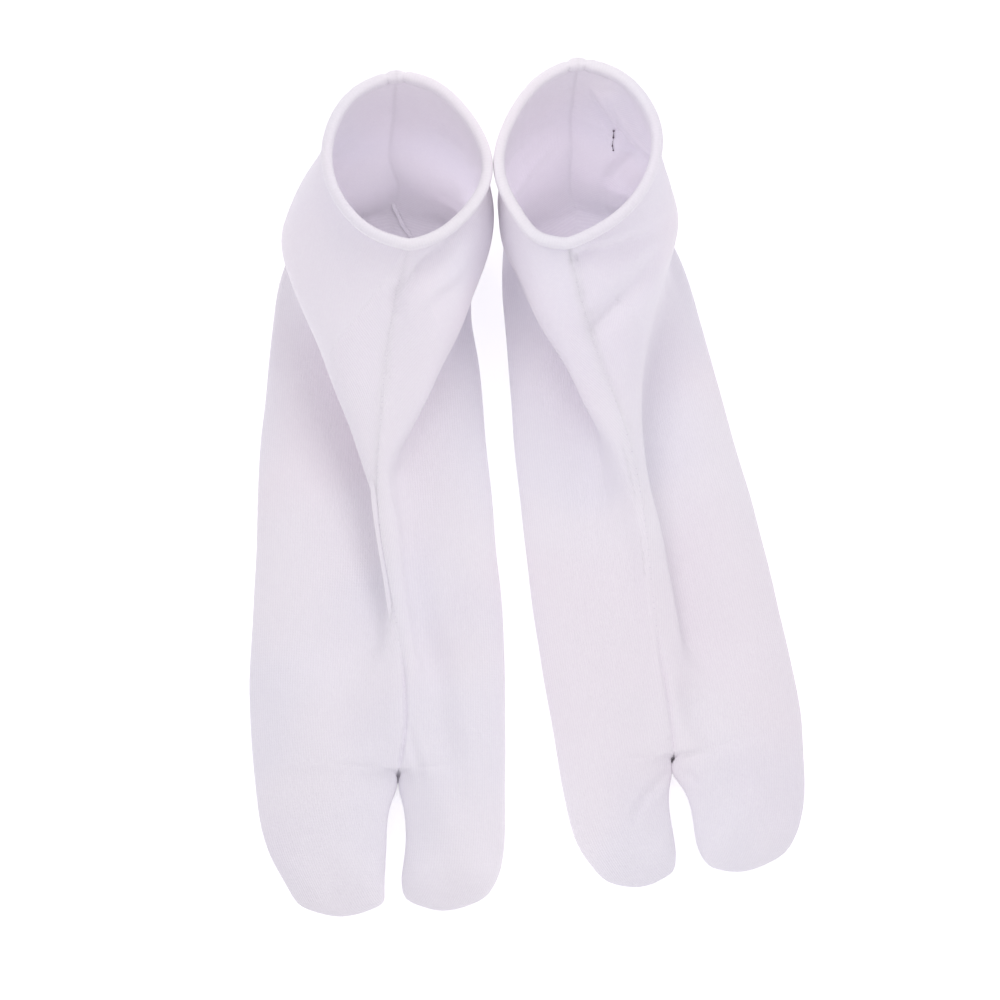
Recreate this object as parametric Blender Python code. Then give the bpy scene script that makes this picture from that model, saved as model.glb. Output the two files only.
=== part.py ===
"""A pair of white stretch tabi socks, standing empty on their soles.

Every length below is in millimetres. A sock's own frame has X across the foot, Y towards the
heel and Z up, with its origin on the ground under the middle of the sole. The right foot's sock
stands on the left of the pair as it is seen from the toes.
"""
import math
from collections import namedtuple

import bmesh
import bpy
import numpy as np

MILLIMETRE = 0.001
WALL = 1.3            # doubled knit, as the solids carry it
SEAM_GAP = 0.3        # between two pieces that are sewn together
EDGE_HEIGHT = 5.6     # where the upper is widest, above the ground
BROW_HEIGHT = 9.8     # where the rolled side turns into the top
BROW_INSET = 5.2
TURN_UNDER = 4.8      # how far the upper turns in below its widest line
CLEFT_TURN = 2.6      # the same, between the toes
LIP_SHARE = 0.38      # the lip lies this far from the top edge on the way to the shoulder
LIP_SWELL = 0.09      # how much it stands up, for each millimetre across to the shoulder
HEM_HEIGHT = 5.0
HEM_THICKNESS = 3.4
HEM_SIDES = 8
SOLE_REACH = 0.8      # the sole goes this far past the upper's turned edge
SOLE_TOP = WALL
UPPER_BOTTOM = SOLE_TOP + SEAM_GAP
HEEL_RIBS = 4         # ribs near enough to the back seam for their linings to meet

# Grid steps across a panel, from its sole edge to its top edge.
ACROSS_STEPS = (2, 2, 4, 3, 4, 3)

# A lean is how far the ring's back or front stands to the right of its middle.
Ring = namedtuple("Ring", "centre half_width half_length height rise roundness back_lean front_lean")
Seam = namedtuple("Seam", "y x z")
# `top` is an angle round the ring from its back in tube rows, and a Y on the front seam in
# instep rows. The other columns are places: edge (x, y), waist and shoulder (x, y, z).
Rib = namedtuple("Rib", "steps top left_edge left_waist left_shoulder right_edge right_waist right_shoulder")
Toe = namedtuple("Toe", "steps height left_edge left_cleft right_edge right_cleft bow")
Dent = namedtuple("Dent", "start end width depth above")
Sock = namedtuple("Sock", "name place turn left right ring seam tube instep toes dents")

RIGHT_FOOT = Sock(
    name="right_foot",
    place=(-40.0, 0.0),
    turn=0.0,
    left="outer",
    right="inner",
    ring=Ring(centre=(10.6, 86.2), half_width=24.9, half_length=25.2, height=87.5, rise=0.27,
              roundness=1.8, back_lean=-3.4, front_lean=0.8),
    seam=(
        Seam(y=52.0, x=7.0, z=64.0),
        Seam(y=40.0, x=4.2, z=49.5),
        Seam(y=26.0, x=2.9, z=41.0),
        Seam(y=10.0, x=0.6, z=34.0),
        Seam(y=-2.0, x=0.0, z=28.5),
        Seam(y=-22.0, x=2.5, z=23.0),
        Seam(y=-40.0, x=5.4, z=17.5),
        Seam(y=-56.0, x=7.6, z=14.5),
        Seam(y=-76.0, x=10.0, z=11.6),
        Seam(y=-86.0, x=8.7, z=11.2),
        Seam(y=-95.0, x=7.0, z=9.5),
    ),
    tube=(
        Rib(4, 0.0, (2.0, 108.5), (4.0, 107.5, 30.0), (5.0, 110.0, 58.0),
            (2.0, 108.5), (4.0, 107.5, 30.0), (5.0, 110.0, 58.0)),
        Rib(4, 42.0, (-21.5, 100.0), (-18.0, 97.0, 26.0), (-18.0, 100.0, 52.0),
            (25.0, 99.0), (26.0, 97.0, 26.0), (29.0, 100.0, 54.0)),
        Rib(3, 88.0, (-33.2, 80.0), (-28.0, 80.0, 21.0), (-30.8, 78.0, 46.0),
            (30.0, 80.0), (30.0, 81.0, 22.0), (37.8, 82.0, 52.0)),
        Rib(3, 125.0, (-36.4, 62.0), (-20.0, 61.0, 16.0), (-27.2, 59.5, 42.5),
            (30.6, 62.0), (26.5, 62.0, 18.0), (34.0, 64.0, 47.0)),
        Rib(3, 155.0, (-37.8, 46.0), (-12.6, 45.0, 13.6), (-20.4, 43.9, 40.0),
            (32.8, 47.0), (20.0, 46.0, 15.0), (27.5, 46.0, 42.5)),
    ),
    instep=(
        Rib(2, 63.0, (-38.6, 32.0), (-8.0, 33.0, 12.8), (-15.8, 32.3, 38.0),
            (34.2, 33.0), (14.0, 33.0, 14.0), (21.5, 35.0, 38.5)),
        Rib(3, 40.0, (-39.5, 19.0), (-3.8, 20.0, 12.2), (-10.4, 19.8, 34.0),
            (35.2, 19.0), (9.5, 20.0, 13.5), (14.4, 21.0, 34.5)),
        Rib(3, 16.0, (-40.2, 4.0), (-0.2, 5.0, 11.4), (-4.8, 5.5, 29.5),
            (36.9, 4.0), (6.5, 5.0, 13.0), (5.2, 7.0, 29.5)),
        Rib(3, -6.0, (-40.3, -13.0), (1.4, -12.0, 11.2), (-0.4, -9.5, 24.0),
            (38.2, -13.0), (8.0, -12.0, 13.0), (4.9, -9.0, 24.5)),
        Rib(3, -38.0, (-41.0, -40.0), (3.0, -40.0, 11.6), (4.4, -38.0, 16.4),
            (40.8, -40.0), (12.0, -40.0, 12.5), (9.0, -38.0, 16.8)),
        Rib(3, -64.0, (-41.6, -66.0), (-3.0, -65.0, 12.8), (3.4, -64.0, 13.8),
            (41.8, -66.0), (17.0, -65.0, 11.4), (13.0, -64.0, 13.0)),
        Rib(2, -85.0, (-40.2, -86.0), (-13.0, -85.0, 13.4), (2.4, -85.0, 12.6),
            (41.7, -86.0), (24.0, -85.0, 12.2), (12.0, -85.0, 11.6)),
        Rib(1, -93.0, (-39.4, -92.5), (-14.0, -92.0, 13.2), (1.8, -92.5, 11.6),
            (41.7, -92.5), (24.0, -92.0, 12.4), (12.2, -92.5, 11.0)),
    ),
    toes=(
        Toe(2, 12.8, (-39.0, -95.5), (6.8, -95.5), (41.7, -95.5), (7.4, -95.5), 0.0),
        Toe(3, 12.6, (-37.7, -105.0), (5.0, -103.8), (41.7, -105.0), (8.5, -103.8), 0.0),
        Toe(2, 12.0, (-33.2, -121.0), (3.5, -120.0), (40.9, -121.0), (9.4, -120.0), 0.0),
        Toe(2, 9.8, (-27.9, -130.6), (3.1, -131.2), (37.7, -130.5), (8.8, -131.2), 1.8),
        Toe(1, 5.6, (-22.4, -136.7), (1.7, -135.9), (33.4, -134.2), (11.6, -134.9), 3.4),
    ),
    dents=(
        Dent(start=(30.0, 78.0), end=(13.0, 46.0), width=9.0, depth=2.4, above=30.0),
        Dent(start=(7.4, 50.0), end=(11.0, 38.0), width=4.5, depth=3.0, above=30.0),
    ),
)

LEFT_FOOT = Sock(
    name="left_foot",
    place=(44.5, 1.2),
    turn=9.5,
    left="inner",
    right="outer",
    ring=Ring(centre=(-4.8, 89.6), half_width=24.8, half_length=26.6, height=87.5, rise=0.26,
              roundness=1.76, back_lean=3.8, front_lean=-8.0),
    seam=(
        Seam(y=53.0, x=-10.8, z=64.0),
        Seam(y=38.0, x=-7.7, z=49.0),
        Seam(y=29.0, x=-5.6, z=43.0),
        Seam(y=18.0, x=-2.6, z=38.0),
        Seam(y=5.0, x=-1.5, z=33.0),
        Seam(y=-9.0, x=-0.1, z=28.0),
        Seam(y=-25.0, x=-0.7, z=24.0),
        Seam(y=-50.0, x=-2.0, z=18.0),
        Seam(y=-70.0, x=-2.3, z=13.4),
        Seam(y=-83.0, x=-2.5, z=11.0),
        Seam(y=-92.0, x=-3.5, z=9.5),
    ),
    tube=(
        Rib(4, 0.0, (-2.0, 112.5), (-2.6, 111.5, 30.0), (-3.0, 114.0, 58.0),
            (-2.0, 112.5), (-2.6, 111.5, 30.0), (-3.0, 114.0, 58.0)),
        Rib(4, 42.0, (-23.0, 103.0), (-24.0, 101.0, 26.0), (-26.0, 103.0, 54.0),
            (19.0, 103.0), (16.0, 101.0, 26.0), (16.0, 103.0, 54.0)),
        Rib(3, 88.0, (-30.2, 85.0), (-28.0, 85.0, 22.0), (-31.4, 84.0, 52.0),
            (28.6, 84.0), (25.0, 84.0, 22.0), (26.4, 83.0, 50.0)),
        Rib(3, 125.0, (-32.4, 68.0), (-23.0, 67.0, 17.0), (-28.2, 68.0, 46.5),
            (32.0, 65.0), (22.5, 66.0, 18.0), (23.0, 69.0, 43.0)),
        Rib(3, 155.0, (-33.8, 53.0), (-17.0, 52.0, 14.5), (-24.0, 51.5, 43.0),
            (33.2, 48.0), (17.0, 50.0, 15.0), (16.0, 55.0, 41.0)),
    ),
    instep=(
        Rib(2, 66.0, (-35.0, 39.0), (-12.0, 38.0, 13.6), (-18.3, 38.0, 39.5),
            (34.2, 34.0), (11.6, 37.0, 13.2), (10.4, 41.0, 39.0)),
        Rib(3, 38.0, (-36.4, 23.0), (-9.4, 23.0, 13.4), (-12.9, 24.0, 35.0),
            (35.2, 20.0), (7.0, 21.0, 12.4), (4.6, 24.0, 35.5)),
        Rib(3, 14.0, (-37.6, 6.0), (-10.0, 6.0, 13.6), (-6.0, 8.0, 31.0),
            (36.5, 4.0), (4.6, 5.0, 11.4), (3.0, 7.0, 30.0)),
        Rib(3, -9.0, (-38.7, -11.0), (-13.0, -11.0, 14.2), (-4.0, -10.0, 25.0),
            (38.0, -13.0), (5.0, -12.0, 11.2), (3.4, -11.0, 25.0)),
        Rib(3, -38.0, (-40.1, -38.0), (-16.0, -38.0, 14.4), (-5.0, -38.0, 19.0),
            (39.4, -40.0), (5.4, -39.0, 11.4), (4.6, -38.0, 18.4)),
        Rib(3, -62.0, (-40.4, -62.0), (-16.0, -62.0, 13.5), (-7.0, -62.0, 14.8),
            (40.3, -64.0), (8.0, -63.0, 11.0), (3.8, -62.0, 14.4)),
        Rib(2, -83.0, (-40.4, -83.0), (-20.0, -83.0, 12.5), (-9.0, -83.0, 11.8),
            (39.8, -85.0), (18.0, -84.0, 11.6), (4.3, -83.0, 11.6)),
        Rib(1, -89.5, (-40.4, -89.0), (-22.0, -89.0, 12.5), (-9.4, -89.5, 11.0),
            (39.2, -89.5), (19.0, -89.0, 11.8), (5.0, -89.5, 11.2)),
    ),
    toes=(
        Toe(2, 12.4, (-40.4, -91.8), (-4.4, -91.8), (38.9, -91.8), (-3.8, -91.8), 0.0),
        Toe(3, 12.2, (-40.1, -101.0), (-6.7, -100.6), (37.6, -102.0), (-2.2, -100.6), 0.0),
        Toe(2, 11.8, (-38.3, -114.0), (-7.8, -114.5), (33.8, -116.0), (-1.1, -114.8), 0.0),
        Toe(2, 9.8, (-34.8, -121.8), (-8.3, -122.8), (29.0, -124.2), (-0.5, -122.8), 1.6),
        Toe(1, 5.6, (-29.9, -126.9), (-11.4, -127.4), (22.8, -127.8), (3.3, -127.6), 2.7),
    ),
    dents=(
        Dent(start=(-11.0, 55.0), end=(-10.0, 48.0), width=4.5, depth=2.6, above=30.0),
        Dent(start=(16.0, 62.0), end=(-6.0, 33.0), width=6.0, depth=2.6, above=30.0),
    ),
)

PAIR = (RIGHT_FOOT, LEFT_FOOT)

FABRIC_COLOURS = {
    "outer": (0.86, 0.83, 0.88),
    "inner": (0.86, 0.83, 0.88),
    "sole": (0.80, 0.78, 0.82),
    "hem": (0.88, 0.86, 0.90),
}
FABRIC_ROUGHNESS = 0.9


def smooth_curve(knots, values, at):
    """Read a natural cubic curve through the values, at each of the places."""
    knots = np.asarray(knots, float)
    values = np.asarray(values, float)
    at = np.asarray(at, float)
    spans = np.diff(knots)
    count = len(knots)
    system = np.eye(count)
    target = np.zeros_like(values)
    slopes = np.diff(values, axis=0) / spans.reshape(-1, *[1] * (values.ndim - 1))
    for k in range(1, count - 1):
        system[k, k - 1:k + 2] = spans[k - 1], 2 * (spans[k - 1] + spans[k]), spans[k]
        target[k] = 6 * (slopes[k] - slopes[k - 1])
    bends = np.linalg.solve(system, target.reshape(count, -1)).reshape(values.shape)
    span = np.clip(np.searchsorted(knots, at, side="right") - 1, 0, count - 2)
    shape = (-1, *[1] * (values.ndim - 1))
    width = spans[span].reshape(shape)
    after = (at - knots[span]).reshape(shape)
    before = width - after
    cubic = (bends[span] * before ** 3 + bends[span + 1] * after ** 3) / (6 * width)
    start = values[span] / width - bends[span] * width / 6
    end = values[span + 1] / width - bends[span + 1] * width / 6
    return cubic + start * before + end * after


def subdivided(places, steps):
    """Split the span after each place into its number of equal steps."""
    pieces = [np.linspace(a, b, n, endpoint=False) for a, b, n in zip(places, places[1:], steps)]
    return np.append(np.concatenate(pieces), places[-1])


def unit(vector):
    """The direction of a vector."""
    return vector / np.linalg.norm(vector)


def ring_point(ring, degrees, side):
    """A point on the ring's top edge. Side is -1 on the left and 1 on the right."""
    angle = math.radians(degrees)
    across, along = math.sin(angle), math.cos(angle)
    reach = (abs(across) ** ring.roundness + abs(along) ** ring.roundness) ** (-1 / ring.roundness)
    lean = ring.back_lean if along > 0 else ring.front_lean
    x = side * across * reach * ring.half_width + lean * along ** 2
    y = along * reach * ring.half_length
    return np.array((ring.centre[0] + x, ring.centre[1] + y, ring.height + ring.rise * y))


def ring_axis(ring):
    """The direction square to the ring, upward."""
    return unit(np.array((0.0, -ring.rise, 1.0)))


def hem_seat(ring, degrees, side):
    """A point on the panels' top edge, under the hem."""
    return ring_point(ring, degrees, side) - ring_axis(ring) * (HEM_HEIGHT + SEAM_GAP)


def seam_points(sock, places):
    """Points on the front seam at each Y, or at its nearer end."""
    front = hem_seat(sock.ring, 180.0, 1)
    rows = np.array(sorted((*sock.seam, (front[1], front[0], front[2]))))
    places = np.clip(places, rows[0, 0], rows[-1, 0])
    return smooth_curve(rows[:, 0], rows[:, [1, 0, 2]], places)


def rolled_side(edge, aim, turn_under=TURN_UNDER):
    """The turned edge, the widest line and the brow of one side, looking towards the aim."""
    inward = aim[:2] - edge
    way = unit(inward)
    brow = edge + way * min(BROW_INSET, np.linalg.norm(inward))
    return (
        np.append(edge + way * turn_under, UPPER_BOTTOM),
        np.append(edge, EDGE_HEIGHT),
        np.append(brow, BROW_HEIGHT),
    )


def tube_rib(sock, row, side):
    """A rib from the sole's edge to the hem."""
    edge, waist, shoulder = side_columns(row, side)
    top = hem_seat(sock.ring, row.top, side)
    return [*rolled_side(edge, waist), waist, shoulder, top + LIP_SHARE * (shoulder - top), top]


def instep_rib(sock, row, side):
    """A rib from the sole's edge to the front seam."""
    edge, waist, shoulder = side_columns(row, side)
    top = seam_points(sock, [row.top])[0] + np.array((side * SEAM_GAP / 2, 0.0, 0.0))
    lip = top + LIP_SHARE * (shoulder - top)
    lip[2] += LIP_SWELL * abs(shoulder[0] - top[0])
    return [*rolled_side(edge, waist), waist, shoulder, lip, top]


def side_columns(row, side):
    """The edge, waist and shoulder of a rib on one side."""
    columns = (row.left_edge, row.left_waist, row.left_shoulder)
    if side > 0:
        columns = (row.right_edge, row.right_waist, row.right_shoulder)
    return [np.array(place) for place in columns]


def toe_rib(row, side):
    """A rib across one toe pouch, from the sole's edge to the cleft."""
    edge, cleft = (row.left_edge, row.left_cleft) if side < 0 else (row.right_edge, row.right_cleft)
    edge, cleft = np.array(edge), np.array(cleft)
    middle = (edge + cleft) / 2 - np.array((0.0, row.bow))
    height = min(BROW_HEIGHT, row.height)
    turned, widest, _ = rolled_side(edge, middle + np.array((0.0, 3 * row.bow)))
    under, lip, _ = rolled_side(cleft, middle + np.array((0.0, 3 * row.bow)), CLEFT_TURN)
    inset = BROW_INSET / np.linalg.norm(cleft - edge)
    bowed = np.array((0.0, 4 * row.bow * inset * (1 - inset)))
    brow = edge + inset * (cleft - edge) - bowed
    shoulder = cleft + inset * (edge - cleft) - bowed
    return [
        turned,
        widest,
        np.append(brow, height),
        np.append(middle, row.height),
        np.append(shoulder, height),
        lip,
        under,
    ]


def turned_tip(tip):
    """The last rib, tucked under the front of the pouch that the tip's rib goes round."""
    centre = (tip[1] + tip[5]) / 2 + np.array((0.0, 3 * TURN_UNDER, 0.0))
    inner = [point + TURN_UNDER * unit(centre - point) for point in tip[2:5]]
    row = [
        tip[0] + 0.35 * (inner[0] - tip[0]),
        tip[0] + 0.65 * (inner[0] - tip[0]),
        *inner,
        tip[6] + 0.65 * (inner[2] - tip[6]),
        tip[6] + 0.35 * (inner[2] - tip[6]),
    ]
    return [np.array((x, y, UPPER_BOTTOM)) for x, y, _ in row]


def panel_ribs(sock, side):
    """The control ribs of one side panel and the grid steps after each."""
    ribs = [tube_rib(sock, row, side) for row in sock.tube]
    ribs += [instep_rib(sock, row, side) for row in sock.instep]
    ribs += [toe_rib(row, side) for row in sock.toes]
    ribs.append(turned_tip(ribs[-1]))
    steps = [row.steps for row in (*sock.tube, *sock.instep, *sock.toes)]
    for point in ribs[0]:
        point += np.array((side * SEAM_GAP / 2, 0.0, 0.0))
    return np.array(ribs), steps


def dented(sock, points):
    """Press the sock's soft dents into its points."""
    points = points.copy()
    for dent in sock.dents:
        start, end = np.array(dent.start), np.array(dent.end)
        run = end - start
        along = ((points[..., :2] - start) @ run) / (run @ run)
        nearest = start + np.clip(along, 0.0, 1.0)[..., None] * run
        away = np.linalg.norm(points[..., :2] - nearest, axis=-1)
        depth = dent.depth * np.exp(-(2 * away / dent.width) ** 2)
        points[..., 2] -= np.where(points[..., 2] > dent.above, depth, 0.0)
    return points


def panel_grid(sock, side):
    """The outer face of one side panel, as a grid of ribs by points."""
    ribs, steps = panel_ribs(sock, side)
    lengths = np.linalg.norm(np.diff(ribs, axis=0), axis=2).mean(axis=1)
    knots = np.append(0.0, np.cumsum(lengths))
    places = subdivided(knots, steps)
    lines = smooth_curve(knots, ribs, places)
    # The top edge turns a corner at the hem's front and another at the cleft.
    corners = (0, len(sock.tube), len(sock.tube) + len(sock.instep) - 1, len(ribs) - 1)
    for start, end in zip(corners, corners[1:]):
        within = (places >= knots[start]) & (places <= knots[end])
        edge = ribs[start:end + 1, 5:]
        lines[within, 5:] = smooth_curve(knots[start:end + 1], edge, places[within])
    grid = []
    for line in lines:
        spans = np.linalg.norm(np.diff(line, axis=0), axis=1)
        stops = np.append(0.0, np.cumsum(spans))
        grid.append(smooth_curve(stops, line, subdivided(stops, ACROSS_STEPS)))
    grid = dented(sock, np.array(grid))
    seamed = (places >= knots[corners[1]]) & (places <= knots[corners[2]])
    grid[seamed, -1] = seam_points(sock, grid[seamed, -1, 1]) + (side * SEAM_GAP / 2, 0.0, 0.0)
    grid[..., 2] = np.maximum(grid[..., 2], UPPER_BOTTOM)
    return grid


def grid_normals(grid, side):
    """Unit normals of a grid, pointing out of the sock."""
    along = np.gradient(grid, axis=0)
    across = np.gradient(grid, axis=1)
    normals = np.cross(across, along) * side
    return normals / np.linalg.norm(normals, axis=2, keepdims=True)


def grid_quads(rows, columns, first=0):
    """The faces of a grid of numbered points."""
    quads = []
    for i in range(rows - 1):
        for j in range(columns - 1):
            corner = first + i * columns + j
            quads.append((corner, corner + 1, corner + columns + 1, corner + columns))
    return quads


def grid_border(rows, columns):
    """The numbers of a grid's border points, in order round it."""
    right = [i * columns + columns - 1 for i in range(rows)]
    bottom = [(rows - 1) * columns + j for j in range(columns - 2, -1, -1)]
    left = [i * columns for i in range(rows - 2, 0, -1)]
    return list(range(columns - 1)) + right + bottom + left


def walled(outer, inner):
    """Points and faces of a closed wall between two grids."""
    rows, columns, _ = outer.shape
    size = rows * columns
    points = np.concatenate((outer.reshape(-1, 3), inner.reshape(-1, 3)))
    faces = grid_quads(rows, columns)
    faces += [tuple(reversed(quad)) for quad in grid_quads(rows, columns, size)]
    border = grid_border(rows, columns)
    for a, b in zip(border, border[1:] + border[:1]):
        faces.append((b, a, a + size, b + size))
    return points, faces


def keep_apart(points, seam, side):
    """Move points across until they clear a seam's line by half the gap."""
    room = side * (points[..., 0] - seam)
    points[..., 0] += np.where(room < SEAM_GAP / 2, side * (SEAM_GAP / 2 - room), 0.0)


def inner_face(sock, grid, side):
    """The lining side of a panel, one wall in from its outer face."""
    inner = grid - WALL * grid_normals(grid, side)
    inner[-1] = grid[-1] + (0.0, 0.0, WALL)
    inner[:, 0] = grid[:, 0] + (0.0, 0.0, WALL)
    low = grid[:, -1, 2] < UPPER_BOTTOM + 0.5
    inner[low, -1] = grid[low, -1] + (0.0, 0.0, WALL)
    shoulder = sum(ACROSS_STEPS[:4])
    ahead = inner[sum(row.steps for row in sock.tube):, shoulder:]
    seam = seam_points(sock, ahead[..., 1].ravel())[:, 0]
    keep_apart(ahead, seam.reshape(ahead.shape[:2]), side)
    behind = inner[:HEEL_RIBS]
    heel, rim = sock.tube[0].left_edge[0], ring_point(sock.ring, 0.0, side)
    keep_apart(behind, heel + (rim[0] - heel) * behind[..., 2] / rim[2], side)
    return inner


def hem_mesh(sock, grids):
    """The hem: a rounded band on the top edges of both panels."""
    last = sum(row.steps for row in sock.tube)
    left, right = grids[-1][:last + 1, -1], grids[1][:last + 1, -1]
    joined = np.concatenate((left, right[-2:0:-1]))
    joined[0] = (left[0] + right[0]) / 2
    joined[last] = (left[last] + right[last]) / 2
    count = len(joined)
    forward = np.roll(joined, -1, axis=0) - np.roll(joined, 1, axis=0)
    up = ring_axis(sock.ring)
    outward = np.cross(up, forward)
    outward /= np.linalg.norm(outward, axis=1, keepdims=True)
    middle = joined - outward * WALL / 2 + up * (SEAM_GAP + HEM_HEIGHT / 2)
    points = []
    for turn in range(HEM_SIDES):
        angle = 2 * math.pi * (turn + 0.5) / HEM_SIDES
        out, lift = math.cos(angle), math.sin(angle)
        square = math.cos(math.pi / HEM_SIDES)
        reach = outward * out * HEM_THICKNESS / 2 / square
        rise = up * np.clip(lift / square, -1, 1) * HEM_HEIGHT / 2
        points.append(middle + reach + rise)
    points = np.array(points)
    faces = []
    for turn in range(HEM_SIDES):
        after = (turn + 1) % HEM_SIDES
        for k in range(count):
            ahead = (k + 1) % count
            faces.append((turn * count + k, turn * count + ahead, after * count + ahead, after * count + k))
    return points.reshape(-1, 3), faces


def sole_outline(sock, grids):
    """The loop that the turned edges of both panels follow, on the ground."""
    loops = []
    seam_rows = sum(row.steps for row in (*sock.tube, *sock.instep))
    for side in (-1, 1):
        grid = grids[side]
        cleft = grid[:seam_rows - 1:-1, -1]
        loops.append(np.concatenate((grid[:, 0], grid[-1, 1:-1], cleft))[:, :2])
    left, right = loops
    return np.concatenate((left, right[:0:-1]))


def offset_loop(loop, distance):
    """Move each point of a closed loop along its outward direction."""
    forward = np.roll(loop, -1, axis=0) - np.roll(loop, 1, axis=0)
    outward = np.stack((forward[:, 1], -forward[:, 0]), axis=1)
    outward /= np.linalg.norm(outward, axis=1, keepdims=True)
    area = np.sum(loop[:, 0] * np.roll(loop[:, 1], -1) - np.roll(loop[:, 0], -1) * loop[:, 1])
    return loop + outward * distance * (1 if area > 0 else -1)


def sole_mesh(sock, grids):
    """The sole: a flat plate with the cleft cut into it."""
    loop = offset_loop(sole_outline(sock, grids), SOLE_REACH)
    count = len(loop)
    levels = [np.column_stack((loop, np.full(count, height))) for height in (0.0, SOLE_TOP)]
    faces = [tuple(range(count)), tuple(range(2 * count - 1, count - 1, -1))]
    for k in range(count):
        ahead = (k + 1) % count
        faces.append((ahead, k, k + count, ahead + count))
    return np.concatenate(levels), faces


def placed(sock, points):
    """Carry points from the sock's own frame to the pair's."""
    turn = math.radians(sock.turn)
    x, y, z = points.T
    return np.column_stack((
        sock.place[0] + x * math.cos(turn) - y * math.sin(turn),
        sock.place[1] + x * math.sin(turn) + y * math.cos(turn),
        z,
    ))


def fabric(name, colour):
    """A plain knit material."""
    material = bpy.data.materials.new(name)
    material.use_nodes = True
    shader = material.node_tree.nodes["Principled BSDF"]
    shader.inputs["Base Color"].default_value = (*colour, 1.0)
    shader.inputs["Roughness"].default_value = FABRIC_ROUGHNESS
    shader.inputs["Metallic"].default_value = 0.0
    return material


def add_piece(name, kind, points, faces):
    """Make one named object of one cloth piece."""
    mesh = bpy.data.meshes.new(name)
    mesh.from_pydata((points * MILLIMETRE).tolist(), [], faces)
    mesh.validate()
    mesh.materials.append(fabric(name, FABRIC_COLOURS[kind]))
    piece = bpy.data.objects.new(name, mesh)
    bpy.context.scene.collection.objects.link(piece)
    turn_outward(piece)
    return piece


def turn_outward(piece):
    """Turn a closed piece's faces outward."""
    form = bmesh.new()
    form.from_mesh(piece.data)
    bmesh.ops.recalc_face_normals(form, faces=form.faces)
    form.to_mesh(piece.data)
    form.free()


def sock_pieces(sock):
    """Every cloth piece of one sock: its name, its kind, its points and its faces."""
    grids = {side: panel_grid(sock, side) for side in (-1, 1)}
    pieces = []
    for side, kind in ((-1, sock.left), (1, sock.right)):
        points, faces = walled(grids[side], inner_face(sock, grids[side], side))
        pieces.append((f"{sock.name}_upper_{kind}", kind, points, faces))
    pieces.append((f"{sock.name}_hem", "hem", *hem_mesh(sock, grids)))
    pieces.append((f"{sock.name}_sole", "sole", *sole_mesh(sock, grids)))
    return [(name, kind, placed(sock, points), faces) for name, kind, points, faces in pieces]


def build_pair():
    """Make both socks, with the pair's box centred over the origin."""
    for old in list(bpy.data.objects):
        bpy.data.objects.remove(old)
    pieces = [piece for sock in PAIR for piece in sock_pieces(sock)]
    everything = np.concatenate([points for _, _, points, _ in pieces])
    middle = (everything.min(axis=0) + everything.max(axis=0)) / 2
    middle[2] = 0.0
    for name, kind, points, faces in pieces:
        add_piece(name, kind, points - middle, faces)


build_pair()
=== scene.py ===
import math

import bmesh
import bpy
import numpy as np
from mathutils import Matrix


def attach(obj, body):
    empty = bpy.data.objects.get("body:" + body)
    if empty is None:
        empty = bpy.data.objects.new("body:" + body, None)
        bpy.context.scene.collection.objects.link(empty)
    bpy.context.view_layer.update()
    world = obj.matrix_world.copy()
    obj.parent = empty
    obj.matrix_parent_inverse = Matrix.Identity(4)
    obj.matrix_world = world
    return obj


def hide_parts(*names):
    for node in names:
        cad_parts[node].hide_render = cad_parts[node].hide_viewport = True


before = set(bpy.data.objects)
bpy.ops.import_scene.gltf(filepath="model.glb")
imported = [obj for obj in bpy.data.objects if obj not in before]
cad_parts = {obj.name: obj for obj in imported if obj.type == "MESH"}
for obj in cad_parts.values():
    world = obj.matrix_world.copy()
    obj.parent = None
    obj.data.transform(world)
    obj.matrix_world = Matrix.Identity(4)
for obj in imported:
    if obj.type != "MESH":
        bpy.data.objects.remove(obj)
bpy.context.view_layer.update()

# A pair of white stretch tabi, standing empty on their soles, toes towards -Y.
# Lengths are in millimetres until a mesh is made. Each sock's tables are in its own frame:
# X across the foot, Y towards the heel, Z up, origin on the ground under the sole's middle.
mm = 0.001
pairMiddle = np.array((8.41, -10.461, 0.0))   # the solids are centred over this point

cloth = {
    "thickness": 0.9,       # two layers of tricot, hardly pressed
    "alongDetail": 6,       # grid lines for each of the tables' steps
    "acrossDetail": 5,
    "edgeHeight": 5.6,      # where an upper is widest
    "browHeight": 9.8,
    "browInset": 5.2,
    "turnUnder": 4.8,       # how far it turns in under its widest line
    "cleftTurn": 2.6,       # the same beside the cleft, and where the cleft starts
    "cleftStart": 1.1,
    "lipShare": 0.38,       # the lip's place from the top edge to the crest
    "lipSwell": 0.09,
    "bottom": 1.35,
    "softEdge": 8.0,        # the turned edge stays plain, and the cloth grows uneven over this far
    "unevenness": (0.22, 26.0),   # cloth is never quite smooth: height and wavelength
}
acrossSteps = (2, 2, 4, 3, 4, 3)   # steps between a rib's seven points

seam = {
    "sink": 0.03,           # the front and back seams pull in this deep, over this far
    "sinkReach": 0.6,
    "doubled": 0.8,         # the cloth is doubled this far from a seam
    "shareReach": 2.5,      # this near, both uppers move the same way
    "gather": (0.14, 3.4, 3.4),   # little gathers beside it: height, pitch and reach
    "gatherWander": 30.0,
    "gatherPatches": 22.0,
    "grooveReach": 0.8,
    "grooveEnds": 14.0,
    "backSteps": 3,         # the pull at the back fades out over this many of the tables' steps
    "readIn": 4,            # its way is read this many grid lines in
}

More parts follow.
